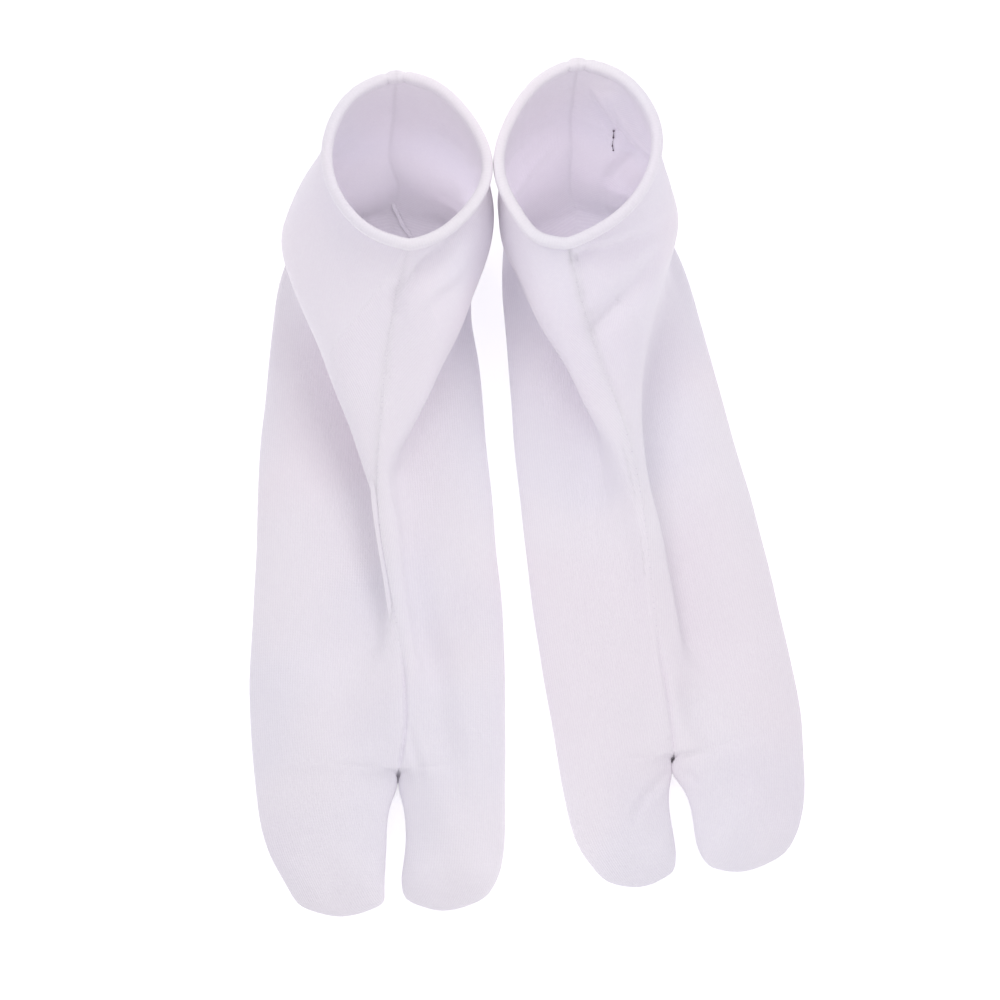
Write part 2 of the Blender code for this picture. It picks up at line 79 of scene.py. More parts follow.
# Tube rows: steps, angle round the ring from its back, then for the left and the right side
# the sole edge (x, y), the fold's foot (x, y, z) and its crest (x, y, z).
# Instep rows: the same, with the front seam's y in place of the angle.
# Toe rows: steps, height, left edge, left cleft, right edge, right cleft, bow of the tip.
rightSock = {
    "name": "right_foot",
    "place": (-40.0, 0.0),
    "turn": 0.0,
    "sides": {-1: "outer", 1: "inner"},
    "heelRound": (27.0, 22.0),       # how far round it goes, and its radius
    "groove": (-52.0, -99.0, 0.75),  # where the front seam sinks in, from, to and how deep
    "heelAllowance": [(3.6, 102.6, 9.9), (4.1, 100.8, 8.3), (5.5, 98.4, 6.2), (7.2, 95.4, 4.3),
                      (9.8, 92.2, 3.0)],
    "ring": {"centre": (10.6, 86.2), "halfWidth": 24.9, "halfLength": 25.2, "height": 87.5,
             "rise": 0.27, "roundness": 1.8, "backLean": -3.4, "frontLean": 0.8},
    "seam": [   # y, x, z
        (52.0, 7.0, 64.0), (40.0, 4.2, 49.5), (26.0, 2.9, 41.0), (10.0, 0.6, 34.0),
        (-2.0, 0.0, 28.5), (-22.0, 2.5, 23.0), (-40.0, 5.4, 17.5), (-56.0, 7.6, 14.5),
        (-76.0, 10.0, 11.6), (-86.0, 8.7, 11.2), (-95.0, 7.0, 9.5),
    ],
    "tube": [
        (4, 0.0, (2.0, 108.5), (4.0, 107.5, 30.0), (5.0, 110.0, 58.0),
         (2.0, 108.5), (4.0, 107.5, 30.0), (5.0, 110.0, 58.0)),
        (4, 42.0, (-21.5, 100.0), (-18.0, 97.0, 26.0), (-18.0, 100.0, 52.0),
         (25.0, 99.0), (26.0, 97.0, 26.0), (29.0, 100.0, 54.0)),
        (3, 88.0, (-33.2, 80.0), (-28.0, 80.0, 21.0), (-30.8, 78.0, 46.0),
         (30.0, 80.0), (30.0, 81.0, 22.0), (37.8, 82.0, 52.0)),
        (3, 125.0, (-36.4, 62.0), (-20.0, 61.0, 16.0), (-27.2, 59.5, 42.5),
         (30.6, 62.0), (26.5, 62.0, 18.0), (34.0, 64.0, 47.0)),
        (3, 155.0, (-37.8, 46.0), (-12.6, 45.0, 13.6), (-20.4, 43.9, 40.0),
         (32.8, 47.0), (20.0, 46.0, 15.0), (27.5, 46.0, 42.5)),
    ],
    "instep": [
        (2, 63.0, (-38.6, 32.0), (-8.0, 33.0, 12.8), (-15.8, 32.3, 38.0),
         (34.2, 33.0), (14.0, 33.0, 14.0), (21.5, 35.0, 38.5)),
        (3, 40.0, (-39.5, 19.0), (-3.8, 20.0, 12.2), (-10.4, 19.8, 34.0),
         (35.2, 19.0), (9.5, 20.0, 13.5), (14.4, 21.0, 34.5)),
        (3, 16.0, (-40.2, 4.0), (-0.2, 5.0, 11.4), (-4.8, 5.5, 29.5),
         (36.9, 4.0), (6.5, 5.0, 13.0), (5.2, 7.0, 29.5)),
        (3, -6.0, (-40.3, -13.0), (1.4, -12.0, 11.2), (-0.4, -9.5, 24.0),
         (38.2, -13.0), (8.0, -12.0, 13.0), (4.9, -9.0, 24.5)),
        (3, -38.0, (-41.0, -40.0), (3.0, -40.0, 11.6), (4.4, -38.0, 16.4),
         (40.8, -40.0), (12.0, -40.0, 12.5), (9.0, -38.0, 16.8)),
        (3, -64.0, (-41.6, -66.0), (-3.0, -65.0, 12.8), (3.4, -64.0, 13.8),
         (41.8, -66.0), (17.0, -65.0, 11.4), (13.0, -64.0, 13.0)),
        (2, -85.0, (-40.2, -86.0), (-13.0, -85.0, 13.4), (2.4, -85.0, 12.6),
         (41.7, -86.0), (24.0, -85.0, 12.2), (12.0, -85.0, 11.6)),
        (1, -93.0, (-39.4, -92.5), (-14.0, -92.0, 13.2), (1.8, -92.5, 11.6),
         (41.7, -92.5), (24.0, -92.0, 12.4), (12.2, -92.5, 11.0)),
    ],
    "toes": [
        (2, 12.8, (-39.0, -95.5), (6.8, -95.5), (41.7, -95.5), (7.4, -95.5), 0.0),
        (3, 12.6, (-37.7, -105.0), (5.0, -103.8), (41.7, -105.0), (8.5, -103.8), 0.0),
        (2, 12.0, (-33.2, -121.0), (3.5, -120.0), (40.9, -121.0), (9.4, -120.0), 0.0),
        (2, 9.8, (-27.9, -130.6), (3.1, -131.2), (37.7, -130.5), (8.8, -131.2), 1.8),
        (1, 5.6, (-22.4, -136.7), (1.7, -135.9), (33.4, -134.2), (11.6, -134.9), 3.4),
    ],
    # Creases: depth (a ridge is negative), width, and the line it follows.
    "creases": [
        # under the hem, from the inner side down to the front seam
        (2.6, 9.0, [(33.0, 73.8, 71.0), (28.0, 67.7, 71.8), (22.6, 62.8, 71.2), (17.2, 58.6, 68.8),
                    (12.5, 55.0, 66.0)]),
        (2.0, 4.4, [(25.4, 63.6, 69.2), (21.0, 60.4, 68.9), (16.5, 57.5, 67.7), (12.0, 54.3, 65.2),
                    (8.1, 51.5, 61.5), (6.3, 49.0, 58.7), (6.7, 45.5, 54.9)]),
        (-1.0, 5.0, [(27.8, 59.7, 60.6), (22.8, 55.3, 61.4), (17.7, 51.4, 60.8), (13.0, 48.0, 58.3),
                     (10.6, 44.4, 54.5)]),
        # the valley over the big toe, and the small one beside the seam
        (1.7, 9.0, [(8.7, -13.7, 12.4), (12.2, -37.3, 12.0), (15.5, -50.5, 10.8), (18.0, -56.7, 10.6),
                    (20.6, -70.6, 11.6), (23.0, -83.8, 12.1), (25.6, -97.0, 12.9), (27.8, -105.0, 12.4)]),
        (0.6, 2.8, [(11.0, -78.9, 12.2), (12.0, -85.3, 11.6), (13.9, -91.8, 11.2), (14.6, -97.2, 11.0)]),
        (0.5, 10.0, [(-8.3, -53.7, 12.8), (-10.1, -60.8, 13.0), (-9.2, -70.8, 13.2), (-7.7, -83.7, 13.0),
                     (-9.7, -96.9, 12.4)]),
        # round the back of the leg and down to the heel
        (0.9, 8.0, [(2.9, 110.0, 66.1), (-7.9, 106.2, 59.8), (-19.6, 98.6, 51.5), (-28.6, 87.7, 42.0)]),
        (0.7, 6.0, [(-6.1, 106.3, 46.7), (-15.7, 100.5, 34.1), (-23.8, 92.4, 26.3), (-26.9, 86.5, 22.9)]),
        (0.7, 7.0, [(9.8, 110.4, 70.1), (21.5, 106.1, 63.3), (31.1, 98.2, 58.8)]),
        (1.0, 7.5, [(-30.6, 76.6, 32.7), (-23.2, 66.9, 22.3), (-18.1, 57.4, 15.3), (-14.5, 48.6, 13.6)]),
        (0.8, 6.0, [(35.4, 82.2, 42.3), (32.5, 72.1, 30.3), (27.0, 60.2, 21.8)]),
        (0.5, 4.5, [(19.3, 100.8, 18.6), (26.4, 95.9, 20.2), (29.6, 89.6, 19.8)]),
    ],
}

leftSock = {
    "name": "left_foot",
    "place": (44.5, 1.2),
    "turn": 9.5,
    "sides": {-1: "inner", 1: "outer"},
    "heelRound": (28.0, 26.0),
    "groove": (-46.0, -97.0, 0.55),
    "heelAllowance": [],
    "ring": {"centre": (-4.8, 89.6), "halfWidth": 24.8, "halfLength": 26.6, "height": 87.5,
             "rise": 0.26, "roundness": 1.76, "backLean": 3.8, "frontLean": -8.0},
    "seam": [
        (53.0, -10.8, 64.0), (38.0, -7.7, 49.0), (29.0, -5.6, 43.0), (18.0, -2.6, 38.0),
        (5.0, -1.5, 33.0), (-9.0, -0.1, 28.0), (-25.0, -0.7, 24.0), (-50.0, -2.0, 18.0),
        (-70.0, -2.3, 13.4), (-83.0, -2.5, 11.0), (-92.0, -3.5, 9.5),
    ],
    "tube": [
        (4, 0.0, (-2.0, 112.5), (-2.6, 111.5, 30.0), (-3.0, 114.0, 58.0),
         (-2.0, 112.5), (-2.6, 111.5, 30.0), (-3.0, 114.0, 58.0)),
        (4, 42.0, (-23.0, 103.0), (-24.0, 101.0, 26.0), (-26.0, 103.0, 54.0),
         (19.0, 103.0), (16.0, 101.0, 26.0), (16.0, 103.0, 54.0)),
        (3, 88.0, (-30.2, 85.0), (-28.0, 85.0, 22.0), (-31.4, 84.0, 52.0),
         (28.6, 84.0), (25.0, 84.0, 22.0), (26.4, 83.0, 50.0)),
        (3, 125.0, (-32.4, 68.0), (-23.0, 67.0, 17.0), (-28.2, 68.0, 46.5),
         (32.0, 65.0), (22.5, 66.0, 18.0), (23.0, 69.0, 43.0)),
        (3, 155.0, (-33.8, 53.0), (-17.0, 52.0, 14.5), (-24.0, 51.5, 43.0),
         (33.2, 48.0), (17.0, 50.0, 15.0), (16.0, 55.0, 41.0)),
    ],
    "instep": [
        (2, 66.0, (-35.0, 39.0), (-12.0, 38.0, 13.6), (-18.3, 38.0, 39.5),
         (34.2, 34.0), (11.6, 37.0, 13.2), (10.4, 41.0, 39.0)),
        (3, 38.0, (-36.4, 23.0), (-9.4, 23.0, 13.4), (-12.9, 24.0, 35.0),
         (35.2, 20.0), (7.0, 21.0, 12.4), (4.6, 24.0, 35.5)),
        (3, 14.0, (-37.6, 6.0), (-10.0, 6.0, 13.6), (-6.0, 8.0, 31.0),
         (36.5, 4.0), (4.6, 5.0, 11.4), (3.0, 7.0, 30.0)),
        (3, -9.0, (-38.7, -11.0), (-13.0, -11.0, 14.2), (-4.0, -10.0, 25.0),
         (38.0, -13.0), (5.0, -12.0, 11.2), (3.4, -11.0, 25.0)),
        (3, -38.0, (-40.1, -38.0), (-16.0, -38.0, 14.4), (-5.0, -38.0, 19.0),
         (39.4, -40.0), (5.4, -39.0, 11.4), (4.6, -38.0, 18.4)),
        (3, -62.0, (-40.4, -62.0), (-16.0, -62.0, 13.5), (-7.0, -62.0, 14.8),
         (40.3, -64.0), (8.0, -63.0, 11.0), (3.8, -62.0, 14.4)),
        (2, -83.0, (-40.4, -83.0), (-20.0, -83.0, 12.5), (-9.0, -83.0, 11.8),
         (39.8, -85.0), (18.0, -84.0, 11.6), (4.3, -83.0, 11.6)),
        (1, -89.5, (-40.4, -89.0), (-22.0, -89.0, 12.5), (-9.4, -89.5, 11.0),
         (39.2, -89.5), (19.0, -89.0, 11.8), (5.0, -89.5, 11.2)),
    ],
    "toes": [
        (2, 12.4, (-40.4, -91.8), (-4.4, -91.8), (38.9, -91.8), (-3.8, -91.8), 0.0),
        (3, 12.2, (-40.1, -101.0), (-6.7, -100.6), (37.6, -102.0), (-2.2, -100.6), 0.0),
        (2, 11.8, (-38.3, -114.0), (-7.8, -114.5), (33.8, -116.0), (-1.1, -114.8), 0.0),
        (2, 9.8, (-34.8, -121.8), (-8.3, -122.8), (29.0, -124.2), (-0.5, -122.8), 1.6),
        (1, 5.6, (-29.9, -126.9), (-11.4, -127.4), (22.8, -127.8), (3.3, -127.6), 2.7),
    ],
    "creases": [
        # two troughs that run in from the outer side, and the pinches where they reach the seam
        (1.5, 7.0, [(-6.3, 59.7, 68.1), (4.2, 63.3, 64.5), (13.3, 67.2, 59.5), (22.2, 72.6, 52.6)]),
        (2.2, 7.5, [(19.2, 66.1, 49.0), (10.0, 56.3, 53.1), (2.6, 49.6, 56.3), (-5.2, 43.5, 53.3),
                    (-8.1, 40.1, 50.7)]),
        (1.2, 5.0, [(-7.3, 38.1, 49.1), (-4.9, 33.8, 45.9), (-3.1, 28.4, 42.5)]),
        (0.8, 4.6, [(-13.9, 60.3, 69.6), (-10.6, 60.8, 71.1), (-5.2, 62.1, 70.0), (1.6, 63.3, 66.8),
                    (9.4, 65.7, 62.3)]),
        (1.0, 5.0, [(-9.6, 41.0, 51.0), (-7.0, 43.3, 53.3), (-2.3, 45.8, 54.8), (3.5, 48.9, 55.3),
                    (9.6, 53.4, 51.7), (14.4, 58.5, 49.1)]),
        (1.1, 4.4, [(-11.5, 59.3, 69.7), (-8.7, 60.9, 70.5), (-5.0, 62.0, 69.5)]),
        (0.8, 3.0, [(-9.8, 52.5, 62.3), (-7.1, 47.6, 57.2)]),
        # a fold that stands into the opening under the hem, and the one that runs down from it
        (2.7, 8.0, [(8.6, 113.0, 80.0), (11.2, 110.0, 74.0), (14.4, 107.0, 69.0), (19.4, 100.4, 63.0),
                    (22.6, 94.0, 62.5)]),
        (1.5, 3.6, [(5.9, 114.6, 79.0), (7.4, 112.6, 74.0), (9.9, 109.6, 68.0), (12.9, 106.6, 63.0),
                    (18.1, 100.6, 57.0), (21.6, 94.6, 57.4)]),
        (-1.6, 5.5, [(18.0, 101.5, 54.0), (13.6, 105.0, 33.0), (9.4, 105.5, 20.0), (8.0, 107.0, 12.0)]),
        # beside the ridge, then over the outer pouch
        (0.7, 8.0, [(-6.4, -3.5, 23.3), (-7.2, -19.3, 19.6), (-8.2, -39.3, 16.9), (-9.0, -58.3, 14.8)]),
        (1.8, 8.0, [(4.8, -73.5, 11.6), (7.8, -84.0, 11.3), (11.0, -96.4, 12.3), (15.0, -106.8, 12.0)]),
        # what the cleft pulls into the big toe, and a short one opposite
        (0.8, 3.2, [(-4.6, -94.4, 7.6), (-7.4, -96.6, 9.0), (-11.3, -99.7, 10.6), (-15.1, -102.3, 11.4),
                    (-18.1, -106.1, 11.6), (-19.7, -109.2, 11.7)]),
        (0.4, 3.0, [(-2.6, -95.6, 7.6), (0.6, -97.3, 9.6), (3.0, -100.7, 10.4)]),
        # round the back of the leg and down to the heel
        (0.8, 7.0, [(0.4, 113.2, 62.2), (7.7, 109.4, 57.7), (16.8, 102.3, 44.9)]),
        (0.9, 8.5, [(-7.5, 113.9, 67.9), (-20.5, 108.2, 62.0), (-28.6, 98.4, 56.6), (-31.1, 89.0, 53.8)]),
        (0.6, 5.5, [(-11.4, 110.5, 43.6), (-21.5, 104.2, 32.4), (-26.4, 98.0, 29.0)]),
        (0.9, 7.0, [(27.0, 83.2, 33.6), (24.3, 72.0, 22.9), (21.0, 60.6, 16.5)]),
        (0.8, 6.5, [(-31.3, 86.8, 46.7), (-28.9, 76.3, 34.1), (-22.7, 66.8, 22.7), (-19.0, 58.7, 16.8)]),
        (0.5, 4.5, [(6.1, 105.5, 19.5), (14.9, 100.2, 20.8), (19.9, 94.3, 19.0)]),
    ],
}


def naturalCurve(knots, values, at):
    # a natural cubic through the values, read at each place
    knots, values, at = (np.asarray(v, float) for v in (knots, values, at))
    spans, count = np.diff(knots), len(knots)
    shape = (-1,) + (1,) * (values.ndim - 1)
    slopes = np.diff(values, axis=0) / spans.reshape(shape)
    system, target = np.eye(count), np.zeros_like(values)
    for k in range(1, count - 1):
        system[k, k - 1:k + 2] = spans[k - 1], 2 * (spans[k - 1] + spans[k]), spans[k]
        target[k] = 6 * (slopes[k] - slopes[k - 1])
    bends = np.linalg.solve(system, target.reshape(count, -1)).reshape(values.shape)
    span = np.clip(np.searchsorted(knots, at, side="right") - 1, 0, count - 2)
    width = spans[span].reshape(shape)
    after = (at - knots[span]).reshape(shape)
    before = width - after
    cubic = (bends[span] * before ** 3 + bends[span + 1] * after ** 3) / (6 * width)
    return (cubic + (values[span] / width - bends[span] * width / 6) * before
            + (values[span + 1] / width - bends[span + 1] * width / 6) * after)


def finer(places, steps, detail):
    spans = [np.linspace(a, b, n * detail, endpoint=False)
             for a, b, n in zip(places, places[1:], steps)]
    return np.append(np.concatenate(spans), places[-1])


def unit(vector):
    return vector / np.linalg.norm(vector, axis=-1, keepdims=True)


def runAlong(line):
    # how far along a line each of its points lies
    return np.append(0.0, np.cumsum(np.linalg.norm(np.diff(line, axis=0), axis=1)))


def readAt(at, run, line):
    return np.stack([np.interp(at, run, column) for column in line.T], axis=1)


def smoothStep(x):
    x = np.clip(x, 0.0, 1.0)
    return x * x * (3 - 2 * x)


def softNoise(points, wavelength, seed, waves=9):
    # slow waves in seeded directions, about -1 to 1
    rng = np.random.default_rng(seed)
    total = np.zeros(points.shape[:-1])
    for _ in range(waves):
        way = unit(rng.normal(size=3)) * 2 * math.pi / (wavelength * rng.uniform(0.7, 1.5))
        total += np.sin(points @ way + rng.uniform(0, 2 * math.pi))
    return total / math.sqrt(waves * 2)


def ringAxis(ring):
    return unit(np.array((0.0, -ring["rise"], 1.0)))


hem = {
    "height": 5.0,
    "thickness": 3.4,
    "wall": 0.75,
    "overlap": 1.1,         # it laps this far over the panels' top edge
    "seat": 0.3,            # the panels' edge lies this far under the line it is measured from
    "corners": 9,           # points round the rolled top
    "legTop": 1.6,          # its legs run straight this far up
    "shoulder": 0.6,        # then swell a little, at this share of the roll's height
    "bulge": (0.08, 0.05),
    "innerDrop": 0.5,       # the inner leg hangs this much lower
    "joinWidth": 2.0,       # half the width of the flat join at the back
    "nick": (0.5, 2.8, 0.7),      # the nick on each side of it: depth, place and width
    "joinSwell": 0.08,
    "sag": (0.1, 30.0),     # it dips and rises this much, in waves this long
    "evening": 6,           # passes that smooth its line
}


def hemSeat(ring, degrees, side):
    # a point on the panels' top edge, under the hem
    angle = math.radians(degrees)
    across, along = math.sin(angle), math.cos(angle)
    power = ring["roundness"]
    reach = (abs(across) ** power + abs(along) ** power) ** (-1 / power)
    lean = ring["backLean"] if along > 0 else ring["frontLean"]
    x = side * across * reach * ring["halfWidth"] + lean * along ** 2
    y = along * reach * ring["halfLength"]
    top = np.array((ring["centre"][0] + x, ring["centre"][1] + y, ring["height"] + ring["rise"] * y))
    return top - ringAxis(ring) * (hem["height"] + hem["seat"])


def seamLine(sock, places):
    front = hemSeat(sock["ring"], 180.0, 1)
    rows = np.array(sorted([*sock["seam"], (front[1], front[0], front[2])]))
    places = np.clip(places, rows[0, 0], rows[-1, 0])
    return naturalCurve(rows[:, 0], rows[:, [1, 0, 2]], places)


def rolledSide(edge, aim, turnUnder):
    # from the turned edge, round the widest line, to the brow
    inward = aim[:2] - edge
    way = unit(inward)
    brow = edge + way * min(cloth["browInset"], np.linalg.norm(inward))
    return [np.append(edge + way * turnUnder, cloth["bottom"]),
            np.append(edge, cloth["edgeHeight"]),
            np.append(brow, cloth["browHeight"])]


def panelRibs(sock, side):
    ribs = []
    columns = slice(2, 5) if side < 0 else slice(5, 8)
    for row in sock["tube"]:
        edge, foot, crest = (np.array(p) for p in row[columns])
        top = hemSeat(sock["ring"], row[1], side)
        lip = top + cloth["lipShare"] * (crest - top)
        ribs.append([*rolledSide(edge, foot, cloth["turnUnder"]), foot, crest, lip, top])
    for row in sock["instep"]:
        edge, foot, crest = (np.array(p) for p in row[columns])
        top = seamLine(sock, [row[1]])[0]
        lip = top + cloth["lipShare"] * (crest - top)
        lip[2] += cloth["lipSwell"] * abs(crest[0] - top[0])
        ribs.append([*rolledSide(edge, foot, cloth["turnUnder"]), foot, crest, lip, top])
    for _, height, leftEdge, leftCleft, rightEdge, rightCleft, bow in sock["toes"]:
        edge, cleft = (leftEdge, leftCleft) if side < 0 else (rightEdge, rightCleft)
        edge, cleft = np.array(edge), np.array(cleft)
        middle = (edge + cleft) / 2 - (0.0, bow)
        aim = middle + (0.0, 3 * bow)
        low = min(cloth["browHeight"], height)
        turned, widest, _ = rolledSide(edge, aim, cloth["turnUnder"])
        turn = cloth["cleftTurn"] if ribs[-1][6][2] < height / 2 else cloth["cleftStart"]
        under, lip, _ = rolledSide(cleft, aim, turn)
        inset = cloth["browInset"] / np.linalg.norm(cleft - edge)
        bowed = (0.0, 4 * bow * inset * (1 - inset))
        brow = edge + inset * (cleft - edge) - bowed
        crest = cleft + inset * (edge - cleft) - bowed
        ribs.append([turned, widest, np.append(brow, low), np.append(middle, height),
                     np.append(crest, low), lip, under])
    tip = ribs[-1]   # the last rib tucks under the front of the pouch
    centre = (tip[1] + tip[5]) / 2 + (0.0, 3 * cloth["turnUnder"], 0.0)
    inner = [p + cloth["turnUnder"] * unit(centre - p) for p in tip[2:5]]
    tuck = [tip[0] + share * (inner[0] - tip[0]) for share in (0.35, 0.65)] + inner
    tuck += [tip[6] + share * (inner[2] - tip[6]) for share in (0.65, 0.35)]
    ribs.append([np.array((p[0], p[1], cloth["bottom"])) for p in tuck])
    steps = [row[0] for row in (*sock["tube"], *sock["instep"], *sock["toes"])]
    return np.array(ribs), steps


def gridNormals(grid, side):
    return unit(np.cross(np.gradient(grid, axis=1), np.gradient(grid, axis=0)) * side)


crease = {
    "atEnds": 0.3,          # the share of its depth left at its two ends
    "rim": (0.2, 1.9, 0.8),       # the faint rise beside it: height, place and width
}


def creaseDepth(creases, grid):
    # how far the soft troughs press in at each point; ridges are negative, and all fade at their ends
    push = np.zeros(grid.shape[:2])
    for depth, width, line in creases:
        line = np.array(line)
        best = np.full(grid.shape[:2], np.inf)
        fade = np.zeros(grid.shape[:2])
        lengths = np.linalg.norm(np.diff(line, axis=0), axis=1)
        start = 0.0
        for a, b, length in zip(line, line[1:], lengths):
            share = np.clip((grid - a) @ (b - a) / length ** 2, 0.0, 1.0)
            away = np.linalg.norm(grid - (a + share[..., None] * (b - a)), axis=-1)
            nearer = away < best
            best = np.where(nearer, away, best)
            along = (start + share * length) / lengths.sum()
            fade = np.where(nearer, np.sin(math.pi * np.clip(along, 0.0, 1.0)) ** 0.5, fade)
            start += length
        reach = 2 * best / width
        rim, place, spread = crease["rim"]
        trough = np.exp(-reach ** 2) - rim * np.exp(-((reach - place) / spread) ** 2)
        push += depth * (crease["atEnds"] + (1 - crease["atEnds"]) * fade) * trough
    return push


def smoothPanel(sock, side):
    # the outer face of one upper before its creases
    ribs, steps = panelRibs(sock, side)
    lengths = np.linalg.norm(np.diff(ribs, axis=0), axis=2).mean(axis=1)
    knots = np.append(0.0, np.cumsum(lengths))
    places = finer(knots, steps, cloth["alongDetail"])
    lines = naturalCurve(knots, ribs, places)
    # The top edge turns a corner at the hem's front and another at the cleft.
    front, cleft = len(sock["tube"]), len(sock["tube"]) + len(sock["instep"]) - 1
    corners = (0, front, cleft, len(ribs) - 1)
    for start, end in zip(corners, corners[1:]):
        within = (places >= knots[start]) & (places <= knots[end])
        lines[within, 5:] = naturalCurve(knots[start:end + 1], ribs[start:end + 1, 5:], places[within])
    grid = []
    for line in lines:
        stops = runAlong(line)
        grid.append(naturalCurve(stops, line, finer(stops, acrossSteps, cloth["acrossDetail"])))
    grid = np.array(grid)
    seamed = (places >= knots[front]) & (places <= knots[cleft])
    return grid, places, seamed


def moveTop(grid, seamed, target):
    # the top edge moves, and the cloth below it follows
    count = acrossSteps[-1] * cloth["acrossDetail"]
    follow = smoothStep(np.arange(1, count + 1) / count)[None, :, None]
    grid[seamed, -count:] += (target - grid[seamed, -1])[:, None] * follow


def closeSeams(grids, seamed):
    # both borders of a seam go to the line halfway between them
    meet = (grids[-1][seamed, -1] + grids[1][seamed, -1]) / 2
    heel = (grids[-1][0] + grids[1][0]) / 2
    rows = seam["backSteps"] * cloth["alongDetail"]
    follow = smoothStep(1 - np.arange(rows) / rows)[:, None, None]
    for side in (-1, 1):
        moveTop(grids[side], seamed, meet)
        grids[side][:rows] += (heel - grids[side][0]) * follow


farAway = 1e3


def panelPair(sock):
    # both uppers' outer faces, creased, and drawn together along their seams
    grids, normals, flats, seamDoubled = {}, {}, {}, {}
    for side in (-1, 1):
        grids[side], places, seamed = smoothPanel(sock, side)
    closeSeams(grids, seamed)
    for side in (-1, 1):
        normals[side] = gridNormals(grids[side], side)
    # Beside a seam both uppers move along one shared direction, so that the seam stays closed.
    readIn = seam["readIn"]
    topWay = unit(normals[-1][:, -1 - readIn] + normals[1][:, -1 - readIn])
    backWay = unit(normals[-1][readIn] + normals[1][readIn])
    for side in (-1, 1):
        grid = grids[side]
        spans = np.linalg.norm(np.diff(grid, axis=1), axis=2)
        fromSole = np.concatenate((np.zeros((len(grid), 1)), np.cumsum(spans, axis=1)), axis=1)
        fromTop = np.where(seamed[:, None], fromSole[:, -1:] - fromSole, farAway)
        fromBack = np.broadcast_to((places - places[0])[:, None], fromTop.shape)
        flats[side] = np.stack((fromSole, np.broadcast_to(places[:, None], fromSole.shape)), axis=-1)

        def near(reach):
            return np.exp(-(fromTop / reach) ** 2), np.exp(-(fromBack / reach) ** 2)

        seamDoubled[side] = np.clip(sum(near(seam["doubled"])), 0, 1)
        nearTop, nearBack = (share[..., None] for share in near(seam["shareReach"]))
        way = normals[side] * (1 - nearTop) + topWay[:, None] * nearTop
        way = unit(way * (1 - nearBack) + backWay[None] * nearBack)
        seamDip = np.clip(sum(near(seam["sinkReach"])), 0, 1)
        # small gathers beside the seams, none on them
        gatherHeight, pitch, reach = seam["gather"]
        wave = 2 * math.pi / pitch
        beside, behind = near(reach)
        gathers = (beside * np.sin(wave * places[:, None] + 2 * softNoise(grid, seam["gatherWander"], 5))
                   + behind * np.sin(wave * fromSole + 2 * softNoise(grid, seam["gatherWander"], 6)))
        gathers *= (0.6 + 0.4 * softNoise(grid, seam["gatherPatches"], 9)) * (1 - seamDip)
        start, end, depth = sock["groove"]
        ends = seam["grooveEnds"]
        sunk = smoothStep((start - grid[..., 1]) / ends) * smoothStep((grid[..., 1] - end) / ends)
        groove = depth * sunk * near(seam["grooveReach"])[0]
        height, wavelength = cloth["unevenness"]
        free = smoothStep(fromSole / cloth["softEdge"])
        push = (free * (height * softNoise(grid, wavelength, 12) + gatherHeight * gathers
                        - seam["sink"] * seamDip) - groove - creaseDepth(sock["creases"], grid))
        grid = grid + push[..., None] * way
        grid[..., 2] = np.maximum(grid[..., 2], cloth["bottom"])
        grids[side] = grid
    closeSeams(grids, seamed)
    return grids, flats, seamDoubled, seamed


normalPasses = 12   # smoothing keeps the inner face from crossing itself in the creases


def innerFace(sock, grid, side, tubeRows):
    ways = gridNormals(grid, side)
    for _ in range(normalPasses):
        ways[1:-1] = (ways[:-2] + 2 * ways[1:-1] + ways[2:]) / 4
        ways[:, 1:-1] = (ways[:, :-2] + 2 * ways[:, 1:-1] + ways[:, 2:]) / 4
    ways[:, -1], ways[0] = ways[:, -2], ways[1]
    inner = grid - cloth["thickness"] * unit(ways)
    # Inside the heel the cloth rounds forward into the sole.
    reach, radius = sock["heelRound"]
    fromBack = runAlong(grid[:, 2 * cloth["acrossDetail"]])
    nearBack = np.exp(-(fromBack / reach) ** 4)[:, None]
    under = np.clip(radius - (inner[..., 2] - cloth["bottom"]), 0, radius)
    inner[..., 1] -= nearBack * (radius - np.sqrt(radius ** 2 - under ** 2))
    inner[-1] = grid[-1] + (0.0, 0.0, cloth["thickness"])
    inner[:, 0] = grid[:, 0] + (0.0, 0.0, cloth["thickness"])
    low = grid[:, -1, 2] < cloth["bottom"] + 0.5
    inner[low, -1] = grid[low, -1] + (0.0, 0.0, cloth["thickness"])
    shoulder = sum(acrossSteps[:4]) * cloth["acrossDetail"]
    # Along the front seam neither inner face crosses the seam's own line.
    ahead = inner[tubeRows:, shoulder:]
    middle = seamLine(sock, ahead[..., 1].ravel())[:, 0].reshape(ahead.shape[:2])
    room = side * (ahead[..., 0] - middle)
    ahead[..., 0] += np.where(room < 0, -side * room, 0.0)
    return inner


def worldWays(sock, ways):
    # directions in the pair's frame
    turn = math.radians(sock["turn"])
    across, along = math.cos(turn), math.sin(turn)
    return np.asarray(ways, float) @ np.array(((across, along, 0), (-along, across, 0), (0, 0, 1)))


def worldPoints(sock, points):
    return (worldWays(sock, points) + (*sock["place"], 0.0) - pairMiddle) * mm


sharpFrom = 50.0   # degrees


def inScene(name, data):
    piece = bpy.data.objects.new(name, data)
    bpy.context.scene.collection.objects.link(piece)
    return piece


def gridFaces(rows, columns, first=0, flip=False):
    i, j = np.meshgrid(np.arange(rows - 1), np.arange(columns - 1), indexing="ij")
    corner = (first + i * columns + j).ravel()
    quads = np.stack((corner, corner + 1, corner + columns + 1, corner + columns), axis=1)
    return (quads[:, ::-1] if flip else quads).tolist()


